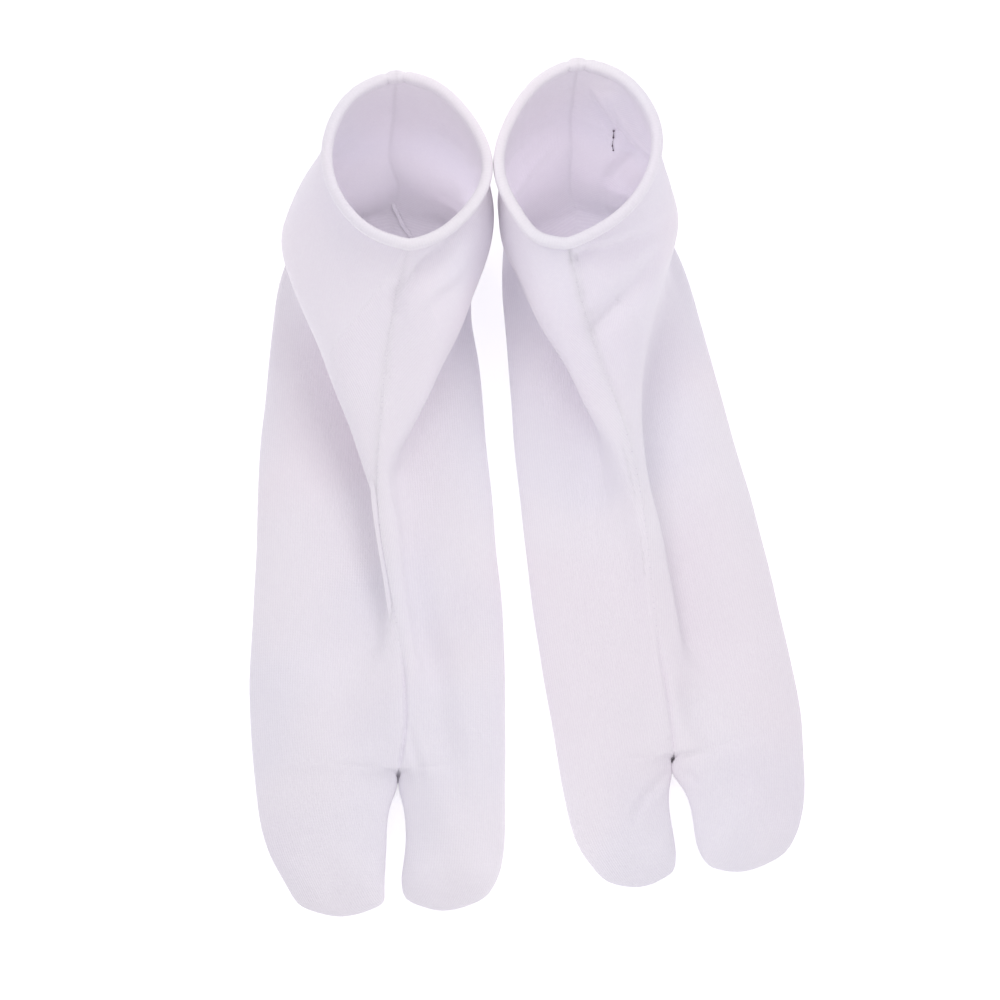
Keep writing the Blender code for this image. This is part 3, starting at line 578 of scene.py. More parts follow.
def doubleGridFaces(rows, columns):
    # two grids, one behind the other, and the wall round their rims
    size = rows * columns
    faces = gridFaces(rows, columns) + gridFaces(rows, columns, size, flip=True)
    rim = ([j for j in range(columns - 1)] + [i * columns + columns - 1 for i in range(rows)]
           + [(rows - 1) * columns + j for j in range(columns - 2, -1, -1)]
           + [i * columns for i in range(rows - 2, 0, -1)])
    return faces + [(b, a, a + size, b + size) for a, b in zip(rim, rim[1:] + rim[:1])]


def makePiece(name, points, faces, material, flat):
    mesh = bpy.data.meshes.new(name)
    mesh.from_pydata(points.reshape(-1, 3).tolist(), [], faces)
    layer = mesh.uv_layers.new(name="clothMm")
    corners = np.zeros(len(mesh.loops), int)
    mesh.loops.foreach_get("vertex_index", corners)
    layer.data.foreach_set("uv", flat.reshape(-1, 2)[corners].ravel())
    mesh.materials.append(material)
    finishMesh(mesh)
    return inScene(name, mesh)


def walledPanel(name, sock, outer, inner, flat, material):
    points = worldPoints(sock, np.concatenate((outer.reshape(-1, 3), inner.reshape(-1, 3))))
    flats = np.tile(flat.reshape(-1, 2), (2, 1))
    return makePiece(name, points, doubleGridFaces(*outer.shape[:2]), material, flats)


def seamNormals(grids, seamed):
    ways = {side: gridNormals(grids[side], side) for side in (-1, 1)}
    shared = np.zeros(grids[1].shape)
    shared[seamed, -1] = unit(ways[-1][seamed, -1] + ways[1][seamed, -1])
    shared[0, 1:-1] = unit(ways[-1][0, 1:-1] + ways[1][0, 1:-1])
    return shared.reshape(-1, 3)


def smoothSeams(panel, sock, grids, inners, seamed):
    # Where two panels meet they share one normal, so that no line shows between them.
    normals = np.concatenate((seamNormals(grids, seamed), -seamNormals(inners, seamed)))
    panel.data.normals_split_custom_set_from_vertices(worldWays(sock, normals).tolist())


def hemBand(name, sock, grids, tubeRows, material):
    # a folded strip: outer leg, rolled top, inner leg, with the panels' edge between the legs
    left, right = grids[-1][:tubeRows + 1, -1], grids[1][:tubeRows + 1, -1]
    loop = np.concatenate((left, right[-2:0:-1]))
    loop[0] = (left[0] + right[0]) / 2
    loop[tubeRows] = (left[tubeRows] + right[tubeRows]) / 2
    for _ in range(hem["evening"]):
        loop = (np.roll(loop, 1, axis=0) + 2 * loop + np.roll(loop, -1, axis=0)) / 4
    count = len(loop)
    up = ringAxis(sock["ring"])
    outward = unit(np.cross(up, np.roll(loop, -1, axis=0) - np.roll(loop, 1, axis=0)))
    around = runAlong(np.append(loop, loop[:1], axis=0))
    around, total = around[:-1], around[-1]
    # its ends are joined flat at the back, with a nick to each side of the join
    fromBack = np.minimum(around, total - around)
    deep, place, width = hem["nick"]
    swell = (hem["joinSwell"] * np.exp(-(fromBack / hem["joinWidth"]) ** 4)
             - deep * np.exp(-((fromBack - place) / width) ** 2))
    height, wavelength = hem["sag"]
    sag = height * softNoise(loop, wavelength, 4)
    middle = loop - outward * cloth["thickness"] / 2 + up * hem["seat"]
    half, wall, low = hem["thickness"] / 2, hem["wall"], -hem["overlap"]
    roll = hem["height"] - half
    legTop, shoulder, hangs = low + hem["legTop"], roll * hem["shoulder"], low - hem["innerDrop"]
    bulge, innerBulge = hem["bulge"]
    angles = np.linspace(0, math.pi, hem["corners"])
    outerPath = ([(half, low), (half, legTop), (half + bulge, shoulder)]
                 + [(half * math.cos(t), roll + half * math.sin(t)) for t in angles]
                 + [(-half - innerBulge, shoulder), (-half, legTop), (-half, hangs)])
    inside = half - wall
    innerPath = ([(-inside, hangs), (-inside, legTop), (-inside, shoulder)]
                 + [(-inside * math.cos(t), roll + inside * math.sin(t)) for t in angles]
                 + [(inside, shoulder), (inside, legTop), (inside, low)])
    profile = outerPath + innerPath
    points, flat, run = [], [], 0.0
    for k, (out, lift) in enumerate(profile):
        swollen = out * (1 + swell / half if k < len(outerPath) else np.ones(count))
        points.append(middle + outward * swollen[:, None] + up * (lift + sag)[:, None])
        flat.append(np.stack((np.full(count, run), around), axis=-1))
        following = profile[(k + 1) % len(profile)]
        run += math.dist((out, lift), following)
    sides = len(profile)
    faces = []
    for s in range(sides):
        after = (s + 1) % sides
        for k in range(count):
            ahead = (k + 1) % count
            faces.append((s * count + k, s * count + ahead, after * count + ahead, after * count + k))
    return makePiece(name, worldPoints(sock, np.array(points)), faces, material, np.array(flat))


sole = {
    "thickness": 1.25,
    "reach": 0.8,           # it stands out this far past the uppers' turned edge
    "across": 26,
    "crowding": 1.6,        # its grid is finer towards the edge
    "edgeReach": 0.5,
    "edgeDrop": (0.3, 0.35),      # how far its lower and upper faces draw in at the edge
}


def soleSheet(name, sock, grids, cleftRow, material):
    # two half sheets from the turned edges to the middle, joined as far as the cleft
    rows, columns = grids[1].shape[:2]
    loop = []
    for side in (-1, 1):
        grid = grids[side][..., :2]
        run = np.concatenate((grid[:, 0], grid[-1, 1:-1], grid[:cleftRow - 1:-1, -1]))
        loop.append(run)
    count = len(loop[0])
    outline = offsetLoop(np.concatenate((loop[0], loop[1][::-1])), sole["reach"])
    outlines = {-1: outline[:count], 1: outline[count:][::-1]}
    spread = np.linspace(0, 1, sole["across"]) ** sole["crowding"]
    heel, cleft = outlines[-1][0], (outlines[-1][-1] + outlines[1][-1]) / 2
    halves = {}
    for side in (-1, 1):
        edge, front, pouch = np.split(outlines[side], [rows, rows + columns - 2])
        other = outlines[-side][:rows]
        y = (edge[:, 1] + other[:, 1]) / 2
        y[0] = edge[0, 1]
        x = heel[0] + (cleft[0] - heel[0]) * (y - heel[1]) / (cleft[1] - heel[1])
        inner = np.stack((x, y), axis=1)
        inner[cleftRow:] = pouch[::-1]
        grid = edge[:, None] + (inner - edge)[:, None] * spread[:, None]
        # The last rows swell forward to the round front of the pouch.
        tip = np.concatenate((edge[-1:], front, inner[-1:]))
        run = runAlong(tip)
        tip = readAt(spread * run[-1], run, tip)
        ramp = np.clip((np.arange(rows) - cleftRow) / (rows - 1 - cleftRow), 0, 1) ** 3
        grid += ramp[:, None, None] * (tip - grid[-1])
        halves[side] = grid
    points, faces, flats = [], [], []
    for side in (-1, 1):
        grid = halves[side]
        fromEdge = np.linalg.norm(grid - grid[:, :1], axis=-1)
        softEdge = np.exp(-(fromEdge / sole["edgeReach"]) ** 2)
        under, over = sole["edgeDrop"]
        first = sum(map(len, points))
        for level, height in ((0, under * softEdge), (1, sole["thickness"] - over * softEdge)):
            points.append(np.concatenate((grid, height[..., None]), axis=-1).reshape(-1, 3))
            flats.append(grid.reshape(-1, 2))
            faces += gridFaces(rows, sole["across"], first + level * grid.shape[0] * sole["across"])
        size = rows * sole["across"]
        last = sole["across"] - 1
        border = [i * sole["across"] for i in range(rows)]
        border += [(rows - 1) * sole["across"] + j for j in range(1, sole["across"])]
        border += [i * sole["across"] + last for i in range(rows - 2, cleftRow - 2, -1)]
        for a, b in zip(border, border[1:]):
            faces.append((first + a, first + b, first + b + size, first + a + size))
    points = np.concatenate(points)
    piece = makePiece(name, worldPoints(sock, points), faces, material, np.concatenate(flats))
    finishMesh(piece.data, weldWithin=0.02)
    return piece


def offsetLoop(loop, distance):
    forward = np.roll(loop, -1, axis=0) - np.roll(loop, 1, axis=0)
    outward = unit(np.stack((forward[:, 1], -forward[:, 0]), axis=1))
    area = np.sum(loop[:, 0] * np.roll(loop[:, 1], -1) - np.roll(loop[:, 0], -1) * loop[:, 1])
    return loop + outward * distance * (1 if area > 0 else -1)


def finishMesh(mesh, weldWithin=0.0):
    form = bmesh.new()
    form.from_mesh(mesh)
    if weldWithin:
        bmesh.ops.remove_doubles(form, verts=form.verts, dist=weldWithin * mm)
    bmesh.ops.recalc_face_normals(form, faces=form.faces)
    form.to_mesh(mesh)
    form.free()
    mesh.shade_smooth()
    mesh.set_sharp_from_angle(angle=math.radians(sharpFrom))


def strip(name, sock, line, across, inward, width, thickness):
    # a flat seam allowance along a line, soft at its edges
    count, sections, material = len(line), allowance["sections"], seamEdge
    points, flats, run = [], [], runAlong(line)
    for face in (0, 1):
        for k in range(sections):
            share = k / (sections - 1) * 2 - 1
            edge = allowance["edge"]
            thick = thickness * (edge + (1 - edge) * math.sqrt(max(0.0, 1 - share ** 4)))
            lift = thick / 2 if face else -thick / 2
            points.append(line + across * share * width / 2 + inward * (lift + thickness / 2))
            flats.append(np.stack((np.full(count, share * width / 2), run), axis=-1))
    grid = np.moveaxis(np.array(points).reshape(2, sections, count, 3), 1, 2)
    flat = np.moveaxis(np.array(flats).reshape(2, sections, count, 2), 1, 2)
    return makePiece(name, worldPoints(sock, grid), doubleGridFaces(count, sections), material, flat)


def linear(hexColour):
    channels = [int(hexColour[k:k + 2], 16) / 255 for k in (1, 3, 5)]
    return tuple(c / 12.92 if c <= 0.04045 else ((c + 0.055) / 1.055) ** 2.4 for c in channels) + (1.0,)


def addNode(tree, kind, settings=None, inputs=None):
    # one node: its settings, and its inputs as plain values or as sockets to link from
    made = tree.nodes.new(kind)
    for name, value in (settings or {}).items():
        setattr(made, name, value)
    for key, value in (inputs or {}).items():
        if isinstance(value, bpy.types.NodeSocket):
            tree.links.new(value, made.inputs[key])
        else:
            made.inputs[key].default_value = value
    return made


def math2(tree, operation, a, b=0.0):
    return addNode(tree, "ShaderNodeMath", {"operation": operation}, {0: a, 1: b}).outputs[0]


def mixColour(tree, factor, a, b, blend="MIX"):
    made = addNode(tree, "ShaderNodeMix", {"data_type": "RGBA", "blend_type": blend},
                   {"Factor": factor, 6: a, 7: b})
    return made.outputs[2]


def noise(tree, vector, scale, detail=2.0, roughness=0.5):
    return addNode(tree, "ShaderNodeTexNoise", None,
                   {"Vector": vector, "Scale": scale, "Detail": detail, "Roughness": roughness}).outputs[0]


def ramp(tree, factor, low, high):
    return addNode(tree, "ShaderNodeMapRange", {"interpolation_type": "SMOOTHSTEP"},
                   {0: factor, 1: low, 2: high, 3: 0.0, 4: 1.0}).outputs[0]


def newMaterial(name):
    material = bpy.data.materials.new(name)
    material.use_nodes = True
    return material, material.node_tree, material.node_tree.nodes["Principled BSDF"]


def knitMaterial(name, look):
    material, tree, shader = newMaterial(name)
    place = addNode(tree, "ShaderNodeTexCoord").outputs["Object"]
    uv = addNode(tree, "ShaderNodeUVMap", {"uv_map": "clothMm"}).outputs[0]
    flat = addNode(tree, "ShaderNodeSeparateXYZ", None, {0: uv})
    u, v = flat.outputs[0], flat.outputs[1]
    if look.get("turned"):
        u, v = v, u
    # Wales: rows of tiny nested loops, each a slanting pair of legs.
    wale = math2(tree, "DIVIDE", u, look["walePitch"])
    fold = math2(tree, "ABSOLUTE", math2(tree, "SUBTRACT", math2(tree, "FRACT", wale), 0.5))
    rib = math2(tree, "SINE", math2(tree, "MULTIPLY", fold, math.pi))
    slant = math2(tree, "MULTIPLY", fold, look["slant"])
    course = math2(tree, "ADD", math2(tree, "DIVIDE", v, look["coursePitch"]), slant)
    loop = math2(tree, "SINE", math2(tree, "MULTIPLY", course, 2 * math.pi))
    loops = math2(tree, "MULTIPLY_ADD", loop, 0.3)
    tree.nodes[-1].inputs[2].default_value = 0.7
    knit = math2(tree, "MULTIPLY", math2(tree, "SUBTRACT", 1.0, rib), loops)
    nap = noise(tree, place, look["napScale"], 3.0, 0.6)
    lumps = noise(tree, place, look["lumpScale"], 2.0)
    # Bigger than the knit: places where the yarn took the white unevenly, some pinker, some bluer.
    warm = ramp(tree, noise(tree, place, look["tintScale"], 1.5), 0.44, 0.62)
    shifted = addNode(tree, "ShaderNodeVectorMath", {"operation": "ADD"},
                      {0: place, 1: (0.37, 0.11, 0.23)}).outputs[0]
    cool = ramp(tree, noise(tree, shifted, look["tintScale"], 1.5), 0.46, 0.62)
    colour = mixColour(tree, math2(tree, "MULTIPLY", warm, look["warmShare"]),
                       linear(look["colour"]), linear(look["warm"]))
    colour = mixColour(tree, math2(tree, "MULTIPLY", cool, look["coolShare"]), colour, linear(look["cool"]))
    # Painted shade: the colour darkens towards the deep colour in the wales' low valleys, where the bump
    # already sinks.
    paintedValleyShade = math2(tree, "MULTIPLY", rib, look["paintedValleyShade"])
    colour = mixColour(tree, paintedValleyShade, colour, linear(look["deep"]))
    fleck = math2(tree, "MULTIPLY", ramp(tree, nap, 0.35, 0.75), look["fleck"])
    colour = mixColour(tree, fleck, colour, (1.0, 1.0, 1.0, 1.0))
    tree.links.new(colour, shader.inputs["Base Color"])
    dull = look["roughness"]
    rough = addNode(tree, "ShaderNodeMapRange", None,
                    {0: lumps, 1: 0.3, 2: 0.7, 3: dull - 0.05, 4: dull + 0.05})
    tree.links.new(rough.outputs[0], shader.inputs["Roughness"])
    height = math2(tree, "ADD", math2(tree, "MULTIPLY", knit, look["knitDepth"]),
                   math2(tree, "ADD", math2(tree, "MULTIPLY", nap, look["napDepth"]),
                         math2(tree, "MULTIPLY", lumps, look["lumpDepth"])))
    bump = addNode(tree, "ShaderNodeBump", None, {"Strength": 1.0, "Distance": 1.0, "Height": height})
    tree.links.new(bump.outputs[0], shader.inputs["Normal"])
    shader.inputs["Sheen Weight"].default_value = look["sheen"]
    shader.inputs["Sheen Roughness"].default_value = 0.5
    shader.inputs["Specular IOR Level"].default_value = look["specular"]
    if look["seamed"]:
        # Doubled cloth beside a seam lets less light through.
        doubled = addNode(tree, "ShaderNodeAttribute", {"attribute_name": "seamDoubled"}).outputs["Fac"]
        single = math2(tree, "SUBTRACT", 1.0, math2(tree, "MULTIPLY", doubled, look["seamShade"]))
        tree.links.new(math2(tree, "MULTIPLY", single, look["through"]), shader.inputs["Subsurface Weight"])
    else:
        shader.inputs["Subsurface Weight"].default_value = look["through"]
    shader.inputs["Subsurface Radius"].default_value = (1.0, 1.0, 1.0)
    shader.inputs["Subsurface Scale"].default_value = look["throughReach"]
    return material


def threadMaterial(name, look):
    material, tree, shader = newMaterial(name)
    place = addNode(tree, "ShaderNodeTexCoord").outputs["Object"]
    ply = noise(tree, place, look["plyScale"], 2.0)
    colour = mixColour(tree, ramp(tree, ply, 0.35, 0.65), linear(look["colour"]), linear(look["deep"]))
    tree.links.new(colour, shader.inputs["Base Color"])
    rough = addNode(tree, "ShaderNodeMapRange", None, {0: ply, 3: 0.5, 4: 0.7})
    tree.links.new(rough.outputs[0], shader.inputs["Roughness"])
    bump = addNode(tree, "ShaderNodeBump", None, {"Strength": 0.6, "Distance": 0.00008, "Height": ply})
    tree.links.new(bump.outputs[0], shader.inputs["Normal"])
    shader.inputs["Sheen Weight"].default_value = 0.2
    return material


# White stretch tricot: fine wales, a soft nap and a faint sheen at grazing angles. The real
# wales are about 0.5 mm apart, too fine to be drawn, so they are drawn 0.8 mm apart.
# The wales' valleys also carry painted shade in the colour, a little less on the hem and the sole.
tricotLook = {
    "colour": "#F4F0F6", "warm": "#F0E2EA", "cool": "#E2E6F4", "deep": "#CFC8D6",
    "warmShare": 0.2, "coolShare": 0.2, "tintScale": 14.0, "paintedValleyShade": 0.14, "fleck": 0.10,
    "walePitch": 0.8, "coursePitch": 0.9, "knitDepth": 0.00005, "napDepth": 0.00006,
    "lumpDepth": 0.00012, "napScale": 900.0, "lumpScale": 170.0, "slant": 1.1, "roughness": 0.86,
    "sheen": 0.3, "specular": 0.25, "through": 0.5, "throughReach": 0.001, "seamed": True,
    "seamShade": 0.9,
}
# The folded hem: the same yarn with elastic in it, so it looks smoother and its ribs run across it.
hemLook = {**tricotLook, "colour": "#F6F2F8", "through": 0.45, "turned": True, "seamed": False,
           "walePitch": 0.9, "knitDepth": 0.00003, "paintedValleyShade": 0.06}
# The sole: a denser, duller knit with a little pile.
soleLook = {**tricotLook, "seamed": False, "colour": "#E4DFE7", "warm": "#E6DAE2", "cool": "#DADFEA",
            "walePitch": 1.0, "coursePitch": 1.1, "napDepth": 0.00012, "paintedValleyShade": 0.05, "roughness": 0.92}
# White polyester sewing thread: a little shinier than the cloth.
threadLook = {"colour": "#F4F2F6", "deep": "#D6D0DC", "plyScale": 2600.0}
# Grey thread, left from a tack: small dark specks on the white.
tackLook = {**threadLook, "colour": "#6B5A6A", "deep": "#3A2E3C"}
# The cut edges inside the seams: the same cloth folded double, so hardly any light comes through.
edgeLook = {**tricotLook, "seamed": False, "through": 0.15}

tricot = knitMaterial("whiteStretchTricot", tricotLook)
seamEdge = knitMaterial("foldedSeamEdge", edgeLook)
hemKnit = knitMaterial("whiteElasticHem", hemLook)
soleKnit = knitMaterial("denseSoleKnit", soleLook)
whiteThread = threadMaterial("whiteSewingThread", threadLook)
greyThread = threadMaterial("greyTackThread", tackLook)


stitch = {
    "length": 0.7,
    "thickness": 0.16,
    "pitch": 1.9,
    "proud": 0.02,
    "wobble": 0.16,
    "seed": 7,
    "readIn": 3,            # its way out is read this many grid lines in from the seam
    "frontEnds": (4, 10),   # grid lines left plain at a seam's two ends
    "backEnds": (6, 4),
}
allowance = {
    "front": (4.2, 0.5),    # width and thickness
    "frontEnds": (3, 2),    # it starts and ends this many grid lines past the seam's ends
    "heel": (1.5, 0.9),
    "heelPoints": 25,
    "sections": 9,
    "edge": 0.25,           # the share of its thickness left at its edges
}


def stitchTree():
    # a short capsule of thread on every point, laid along its "lay" and standing out along its "out"
    tree = bpy.data.node_groups.new("seamStitches", "GeometryNodeTree")
    face = tree.interface
    face.new_socket("Geometry", in_out="INPUT", socket_type="NodeSocketGeometry")
    for label, kind in (("Length", "NodeSocketFloat"), ("Thickness", "NodeSocketFloat"),
                        ("Wobble", "NodeSocketFloat"), ("Seed", "NodeSocketInt"),
                        ("Thread", "NodeSocketMaterial")):
        face.new_socket(label, in_out="INPUT", socket_type=kind)
    face.new_socket("Geometry", in_out="OUTPUT", socket_type="NodeSocketGeometry")
    given = tree.nodes.new("NodeGroupInput")
    result = tree.nodes.new("NodeGroupOutput")
    ball = addNode(tree, "GeometryNodeMeshUVSphere", None, {"Segments": 8, "Rings": 6, "Radius": 0.5})
    thick = given.outputs["Thickness"]
    size = addNode(tree, "ShaderNodeCombineXYZ", None, {0: given.outputs["Length"], 1: thick, 2: thick})
    capsule = addNode(tree, "GeometryNodeTransform", None,
                      {"Geometry": ball.outputs[0], "Scale": size.outputs[0]})
    lay = addNode(tree, "GeometryNodeInputNamedAttribute", {"data_type": "FLOAT_VECTOR"}, {"Name": "lay"})
    out = addNode(tree, "GeometryNodeInputNamedAttribute", {"data_type": "FLOAT_VECTOR"}, {"Name": "out"})
    turned = addNode(tree, "FunctionNodeAlignRotationToVector", {"axis": "X"}, {"Vector": lay.outputs[0]})
    stood = addNode(tree, "FunctionNodeAlignRotationToVector", {"axis": "Z", "pivot_axis": "X"},
                    {"Rotation": turned.outputs[0], "Vector": out.outputs[0]})
    low = addNode(tree, "ShaderNodeMath", {"operation": "SUBTRACT"}, {0: 1.0, 1: given.outputs["Wobble"]})
    high = addNode(tree, "ShaderNodeMath", {"operation": "ADD"}, {0: 1.0, 1: given.outputs["Wobble"]})
    vary = addNode(tree, "FunctionNodeRandomValue", {"data_type": "FLOAT"},
                   {2: low.outputs[0], 3: high.outputs[0], "Seed": given.outputs["Seed"]})
    placed = addNode(tree, "GeometryNodeInstanceOnPoints", None,
                     {"Points": given.outputs["Geometry"], "Instance": capsule.outputs[0],
                      "Rotation": stood.outputs[0], "Scale": vary.outputs[1]})
    real = addNode(tree, "GeometryNodeRealizeInstances", None, {"Geometry": placed.outputs[0]})
    smooth = addNode(tree, "GeometryNodeSetShadeSmooth", None, {"Geometry": real.outputs[0]})
    dyed = addNode(tree, "GeometryNodeSetMaterial", None,
                   {"Geometry": smooth.outputs[0], "Material": given.outputs["Thread"]})
    tree.links.new(dyed.outputs[0], result.inputs[0])
    return tree


stitches = stitchTree()


def sewn(name, sock, places, lay, out, length, thickness, thread):
    # a row of stitches at the places, turned to a plain mesh
    cloud = bpy.data.meshes.new(name + "Points")
    cloud.from_pydata(worldPoints(sock, places).tolist(), [], [])
    for label, ways in (("lay", lay), ("out", out)):
        layer = cloud.attributes.new(label, "FLOAT_VECTOR", "POINT")
        layer.data.foreach_set("vector", worldWays(sock, ways).astype(np.float32).ravel())
    holder = inScene(name + "Points", cloud)
    rule = holder.modifiers.new("stitches", "NODES")
    rule.node_group = stitches
    values = {"Length": length * mm, "Thickness": thickness * mm, "Wobble": stitch["wobble"],
              "Seed": stitch["seed"], "Thread": thread}
    for item in stitches.interface.items_tree:
        if item.in_out == "INPUT" and item.name in values:
            rule[item.identifier] = values[item.name]
    bpy.context.view_layer.update()
    graph = bpy.context.evaluated_depsgraph_get()
    mesh = bpy.data.meshes.new_from_object(holder.evaluated_get(graph), depsgraph=graph)
    mesh.name = name
    bpy.data.objects.remove(holder)
    bpy.data.meshes.remove(cloud)
    return inScene(name, mesh)


def spaced(line, pitch):
    # points at an even pitch along a line, and the way the line runs there, read over a millimetre
    run = runAlong(line)
    at = np.arange(pitch / 2, run[-1], pitch)
    along = unit(readAt(at + 0.5, run, line) - readAt(at - 0.5, run, line))
    return readAt(at, run, line), along, at, run


def seamStitches(name, sock, line, ways):
    # stitches laid across a seam
    points, along, at, run = spaced(line, stitch["pitch"])
    out = unit(readAt(at, run, ways))
    return sewn(name, sock, points + out * stitch["proud"], unit(np.cross(out, along)), out,
                stitch["length"], stitch["thickness"], whiteThread)


def buildSock(sock):
    name = sock["name"]
    inners = {}
    tubeRows = sum(row[0] for row in sock["tube"]) * cloth["alongDetail"]
    cleftRow = tubeRows + sum(row[0] for row in sock["instep"]) * cloth["alongDetail"]
    grids, flats, seamDoubled, seamed = panelPair(sock)
    for side in (-1, 1):
        inners[side] = innerFace(sock, grids[side], side, tubeRows)
    closeSeams(inners, seamed)
    made = []
    for side in (-1, 1):
        kind = sock["sides"][side]
        panel = walledPanel(f"{name}_{kind}_panel", sock, grids[side], inners[side], flats[side], tricot)
        doubled = panel.data.attributes.new("seamDoubled", "FLOAT", "POINT")
        doubled.data.foreach_set("value", np.tile(seamDoubled[side].ravel(), 2).astype(np.float32))
        smoothSeams(panel, sock, grids, inners, slice(tubeRows, cleftRow))
        made.append((panel, f"{name}_upper_{kind}"))
    made.append((hemBand(f"{name}_folded_hem", sock, grids, tubeRows, hemKnit), f"{name}_hem"))
    made.append((soleSheet(f"{name}_knit_sole", sock, grids, cleftRow, soleKnit), f"{name}_sole"))
    for piece, node in made:
        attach(piece, "root")
        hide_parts(node)
    print(name, "cloth made:", [(p.name, len(p.data.polygons)) for p, _ in made])
    first, last = stitch["frontEnds"]
    frontRows = slice(tubeRows + first, cleftRow - last)
    frontLine = (grids[-1][frontRows, -1] + grids[1][frontRows, -1]) / 2
    ways = gridNormals(grids[-1], -1) + gridNormals(grids[1], 1)
    frontWays = unit(ways[frontRows, -1 - stitch["readIn"]])
    first, last = stitch["backEnds"]
    backColumns = slice(first, -last)
    backLine = (grids[-1][0, backColumns] + grids[1][0, backColumns]) / 2
    backWays = unit(ways[stitch["readIn"], backColumns])
    sewing = [seamStitches(f"{name}_front_stitches", sock, frontLine, frontWays),
              seamStitches(f"{name}_back_stitches", sock, backLine, backWays)]
    # the front seam's allowance lies inside, and closes the corner where the cleft starts
    first, last = allowance["frontEnds"]
    line = (inners[-1][:, -1] + inners[1][:, -1])[tubeRows + first:cleftRow + last] / 2
    sideways = np.tile((1.0, 0.0, 0.0), (len(line), 1))
    inward = -unit(np.cross(sideways, np.gradient(line, axis=0)))
    inward *= np.sign(-inward[0, 2])
    sewing.append(strip(f"{name}_front_allowance", sock, line, sideways, inward, *allowance["front"]))
    if sock["heelAllowance"]:
        # the back seam's cut edge stands up a little where it runs onto the sole
        knots = np.array(sock["heelAllowance"])
        places = np.linspace(0, len(knots) - 1, allowance["heelPoints"])
        line = naturalCurve(np.arange(len(knots)), knots, places)
        run = np.gradient(line, axis=0)
        aside = unit(np.cross(run, (0.0, 0.0, 1.0)))
        sewing.append(strip(f"{name}_heel_allowance", sock, line, aside, unit(np.cross(aside, run)),
                            *allowance["heel"]))
    for piece in sewing:
        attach(piece, "root")
    print(name, "sewing made:", [piece.name for piece in sewing])
    return {"made": made, "sewing": sewing, "inners": inners}


# A tack inside the left foot's opening: four knots on a thin thread.
tack = {
    "knots": [(10.0, 106.4, 58.4), (10.1, 106.2, 55.4), (10.2, 105.9, 48.2), (10.3, 105.7, 44.6)],
    "knot": 0.75,
    "thread": 0.2,
    "out": (-0.4, -0.9, 0.0),
    "proud": (-0.12, -0.3, 0.0),
    "runs": 19,             # short lengths that make up the thread
}


def tackOn(inner, sock):
    # the knots are set on the cloth's own points
    cloud = inner.reshape(-1, 3)
    nearest = [np.argmin(np.linalg.norm(cloud - knot, axis=1)) for knot in np.array(tack["knots"])]
    seated = cloud[nearest] + tack["proud"]
    last = len(seated) - 1
    line = readAt(np.linspace(0, last, tack["runs"]), range(last + 1), seated)
    pieces = []
    for name, places, length, thickness in (
            ("left_foot_tack_knots", seated, tack["knot"], tack["knot"] * 0.9),
            ("left_foot_tack_thread", line, 1.2, tack["thread"])):
        up = np.tile((0.0, 0.0, 1.0), (len(places), 1))
        out = np.tile(unit(np.array(tack["out"])), (len(places), 1))
        piece = sewn(name, sock, places, up, out, length, thickness, greyThread)
        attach(piece, "root")
        pieces.append(piece)
    return pieces


rightBuilt = buildSock(rightSock)
leftBuilt = buildSock(leftSock)
leftBuilt["sewing"] += tackOn(leftBuilt["inners"][1], leftSock)


def makeFloor(reach, glow):
    # white studio paper; a little glow keeps it white right up to the socks
    material, _, shader = newMaterial("studioPaper")
    shader.inputs["Base Color"].default_value = linear("#FFFFFF")
    shader.inputs["Roughness"].default_value = 0.9
    shader.inputs["Specular IOR Level"].default_value = 0.1
    shader.inputs["Emission Color"].default_value = (1.0, 1.0, 1.0, 1.0)
    shader.inputs["Emission Strength"].default_value = glow
    mesh = bpy.data.meshes.new("floor")
    mesh.from_pydata([(-reach, -reach, 0), (reach, -reach, 0), (reach, reach, 0), (-reach, reach, 0)],
                     [], [(0, 1, 2, 3)])
    mesh.materials.append(material)
    inScene("floor", mesh)


makeFloor(3.0, 0.4)

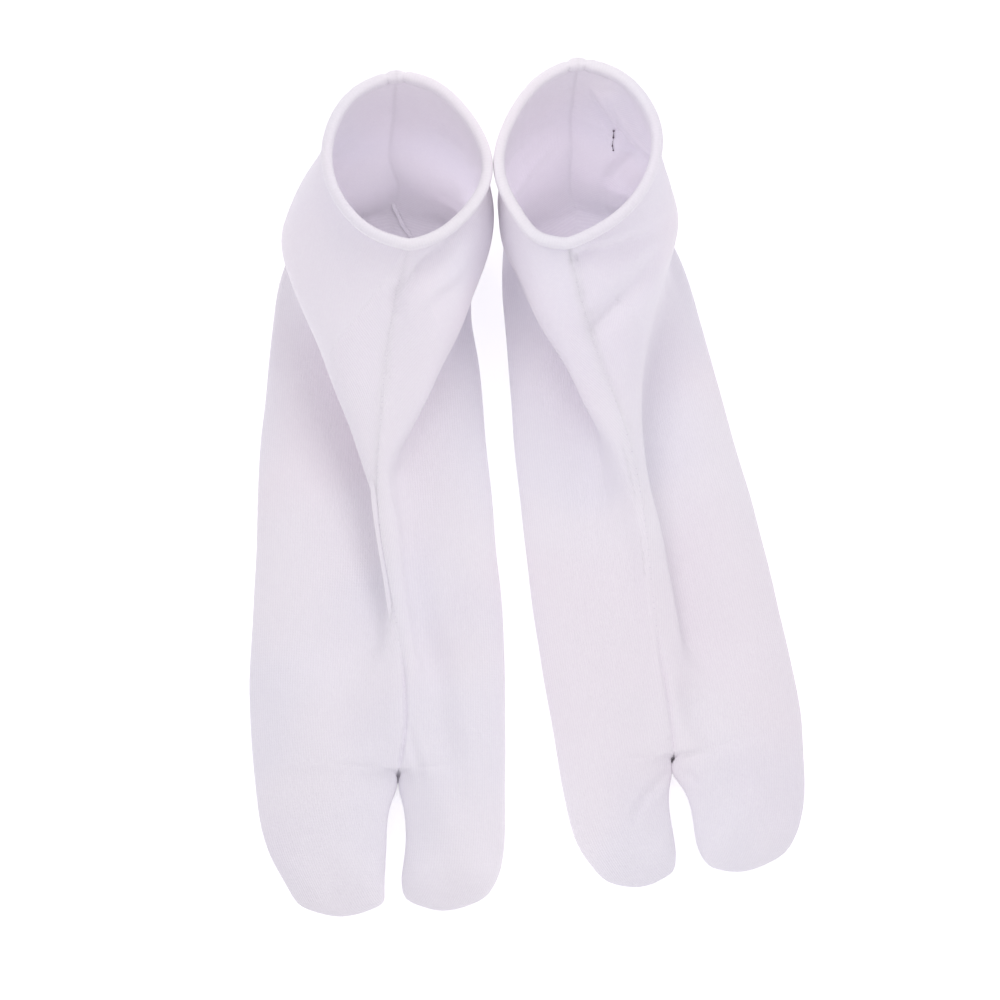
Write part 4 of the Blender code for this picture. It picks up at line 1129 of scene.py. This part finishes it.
world = bpy.data.worlds.new("studio")
bpy.context.scene.world = world
world.use_nodes = True
world.node_tree.nodes["Background"].inputs["Color"].default_value = (0.975, 0.95, 1.0, 1.0)
world.node_tree.nodes["Background"].inputs["Strength"].default_value = 0.77

# Most of the light comes from all round. A soft box stands behind the pair on each side, and
# each sock is lit by the one across the pair from it. A small fill light hangs in each opening.
warmWhite, coolWhite = (1.0, 0.985, 0.94), (0.97, 0.96, 1.0)
lamps = {
    "rightBox": {"kind": "AREA", "power": 3.55, "place": (0.34, 0.42, 1.1), "size": 0.6,
                 "colour": warmWhite, "lights": rightBuilt},
    "leftBox": {"kind": "AREA", "power": 3.2, "place": (-0.26, 0.2, 1.13), "size": 0.6,
                "colour": warmWhite, "lights": leftBuilt},
    "rightFill": {"kind": "POINT", "power": 0.011, "place": (-0.0355, 0.09, 0.043), "size": 0.016,
                  "colour": coolWhite, "lights": rightBuilt},
    "leftFill": {"kind": "POINT", "power": 0.011, "place": (0.0166, 0.09, 0.041), "size": 0.016,
                 "colour": coolWhite, "lights": leftBuilt},
}


def addLight(name, given):
    lamp = bpy.data.lights.new(name, given["kind"])
    lamp.energy = given["power"]
    lamp.color = given["colour"]
    piece = inScene(name, lamp)
    piece.location = given["place"]
    if given["kind"] == "AREA":
        lamp.size = given["size"]
        piece.rotation_euler = (-piece.location).to_track_quat("-Z", "Y").to_euler()
    else:
        lamp.shadow_soft_size = given["size"]
    lit = bpy.data.collections.new(name + "Lights")
    for item in [cloth for cloth, _ in given["lights"]["made"]] + given["lights"]["sewing"]:
        lit.objects.link(item)
    piece.light_linking.receiver_collection = lit


for name, given in lamps.items():
    addLight(name, given)

view = {"elevation": 74.0, "distance": 1000.0, "lens": 108.0, "sensor": 36.0}
camera = bpy.data.cameras.new("camera")
camera.lens, camera.sensor_width, camera.clip_start = view["lens"], view["sensor"], 0.05
eye = inScene("camera", camera)
tilt = math.radians(view["elevation"])
eye.location = (-pairMiddle + view["distance"] * np.array((0.0, -math.cos(tilt), math.sin(tilt)))) * mm
eye.rotation_euler = (math.pi / 2 - tilt, 0.0, 0.0)
bpy.context.scene.camera = eye
bpy.context.scene.view_settings.view_transform = "Standard"
print("floor, lights and camera made")
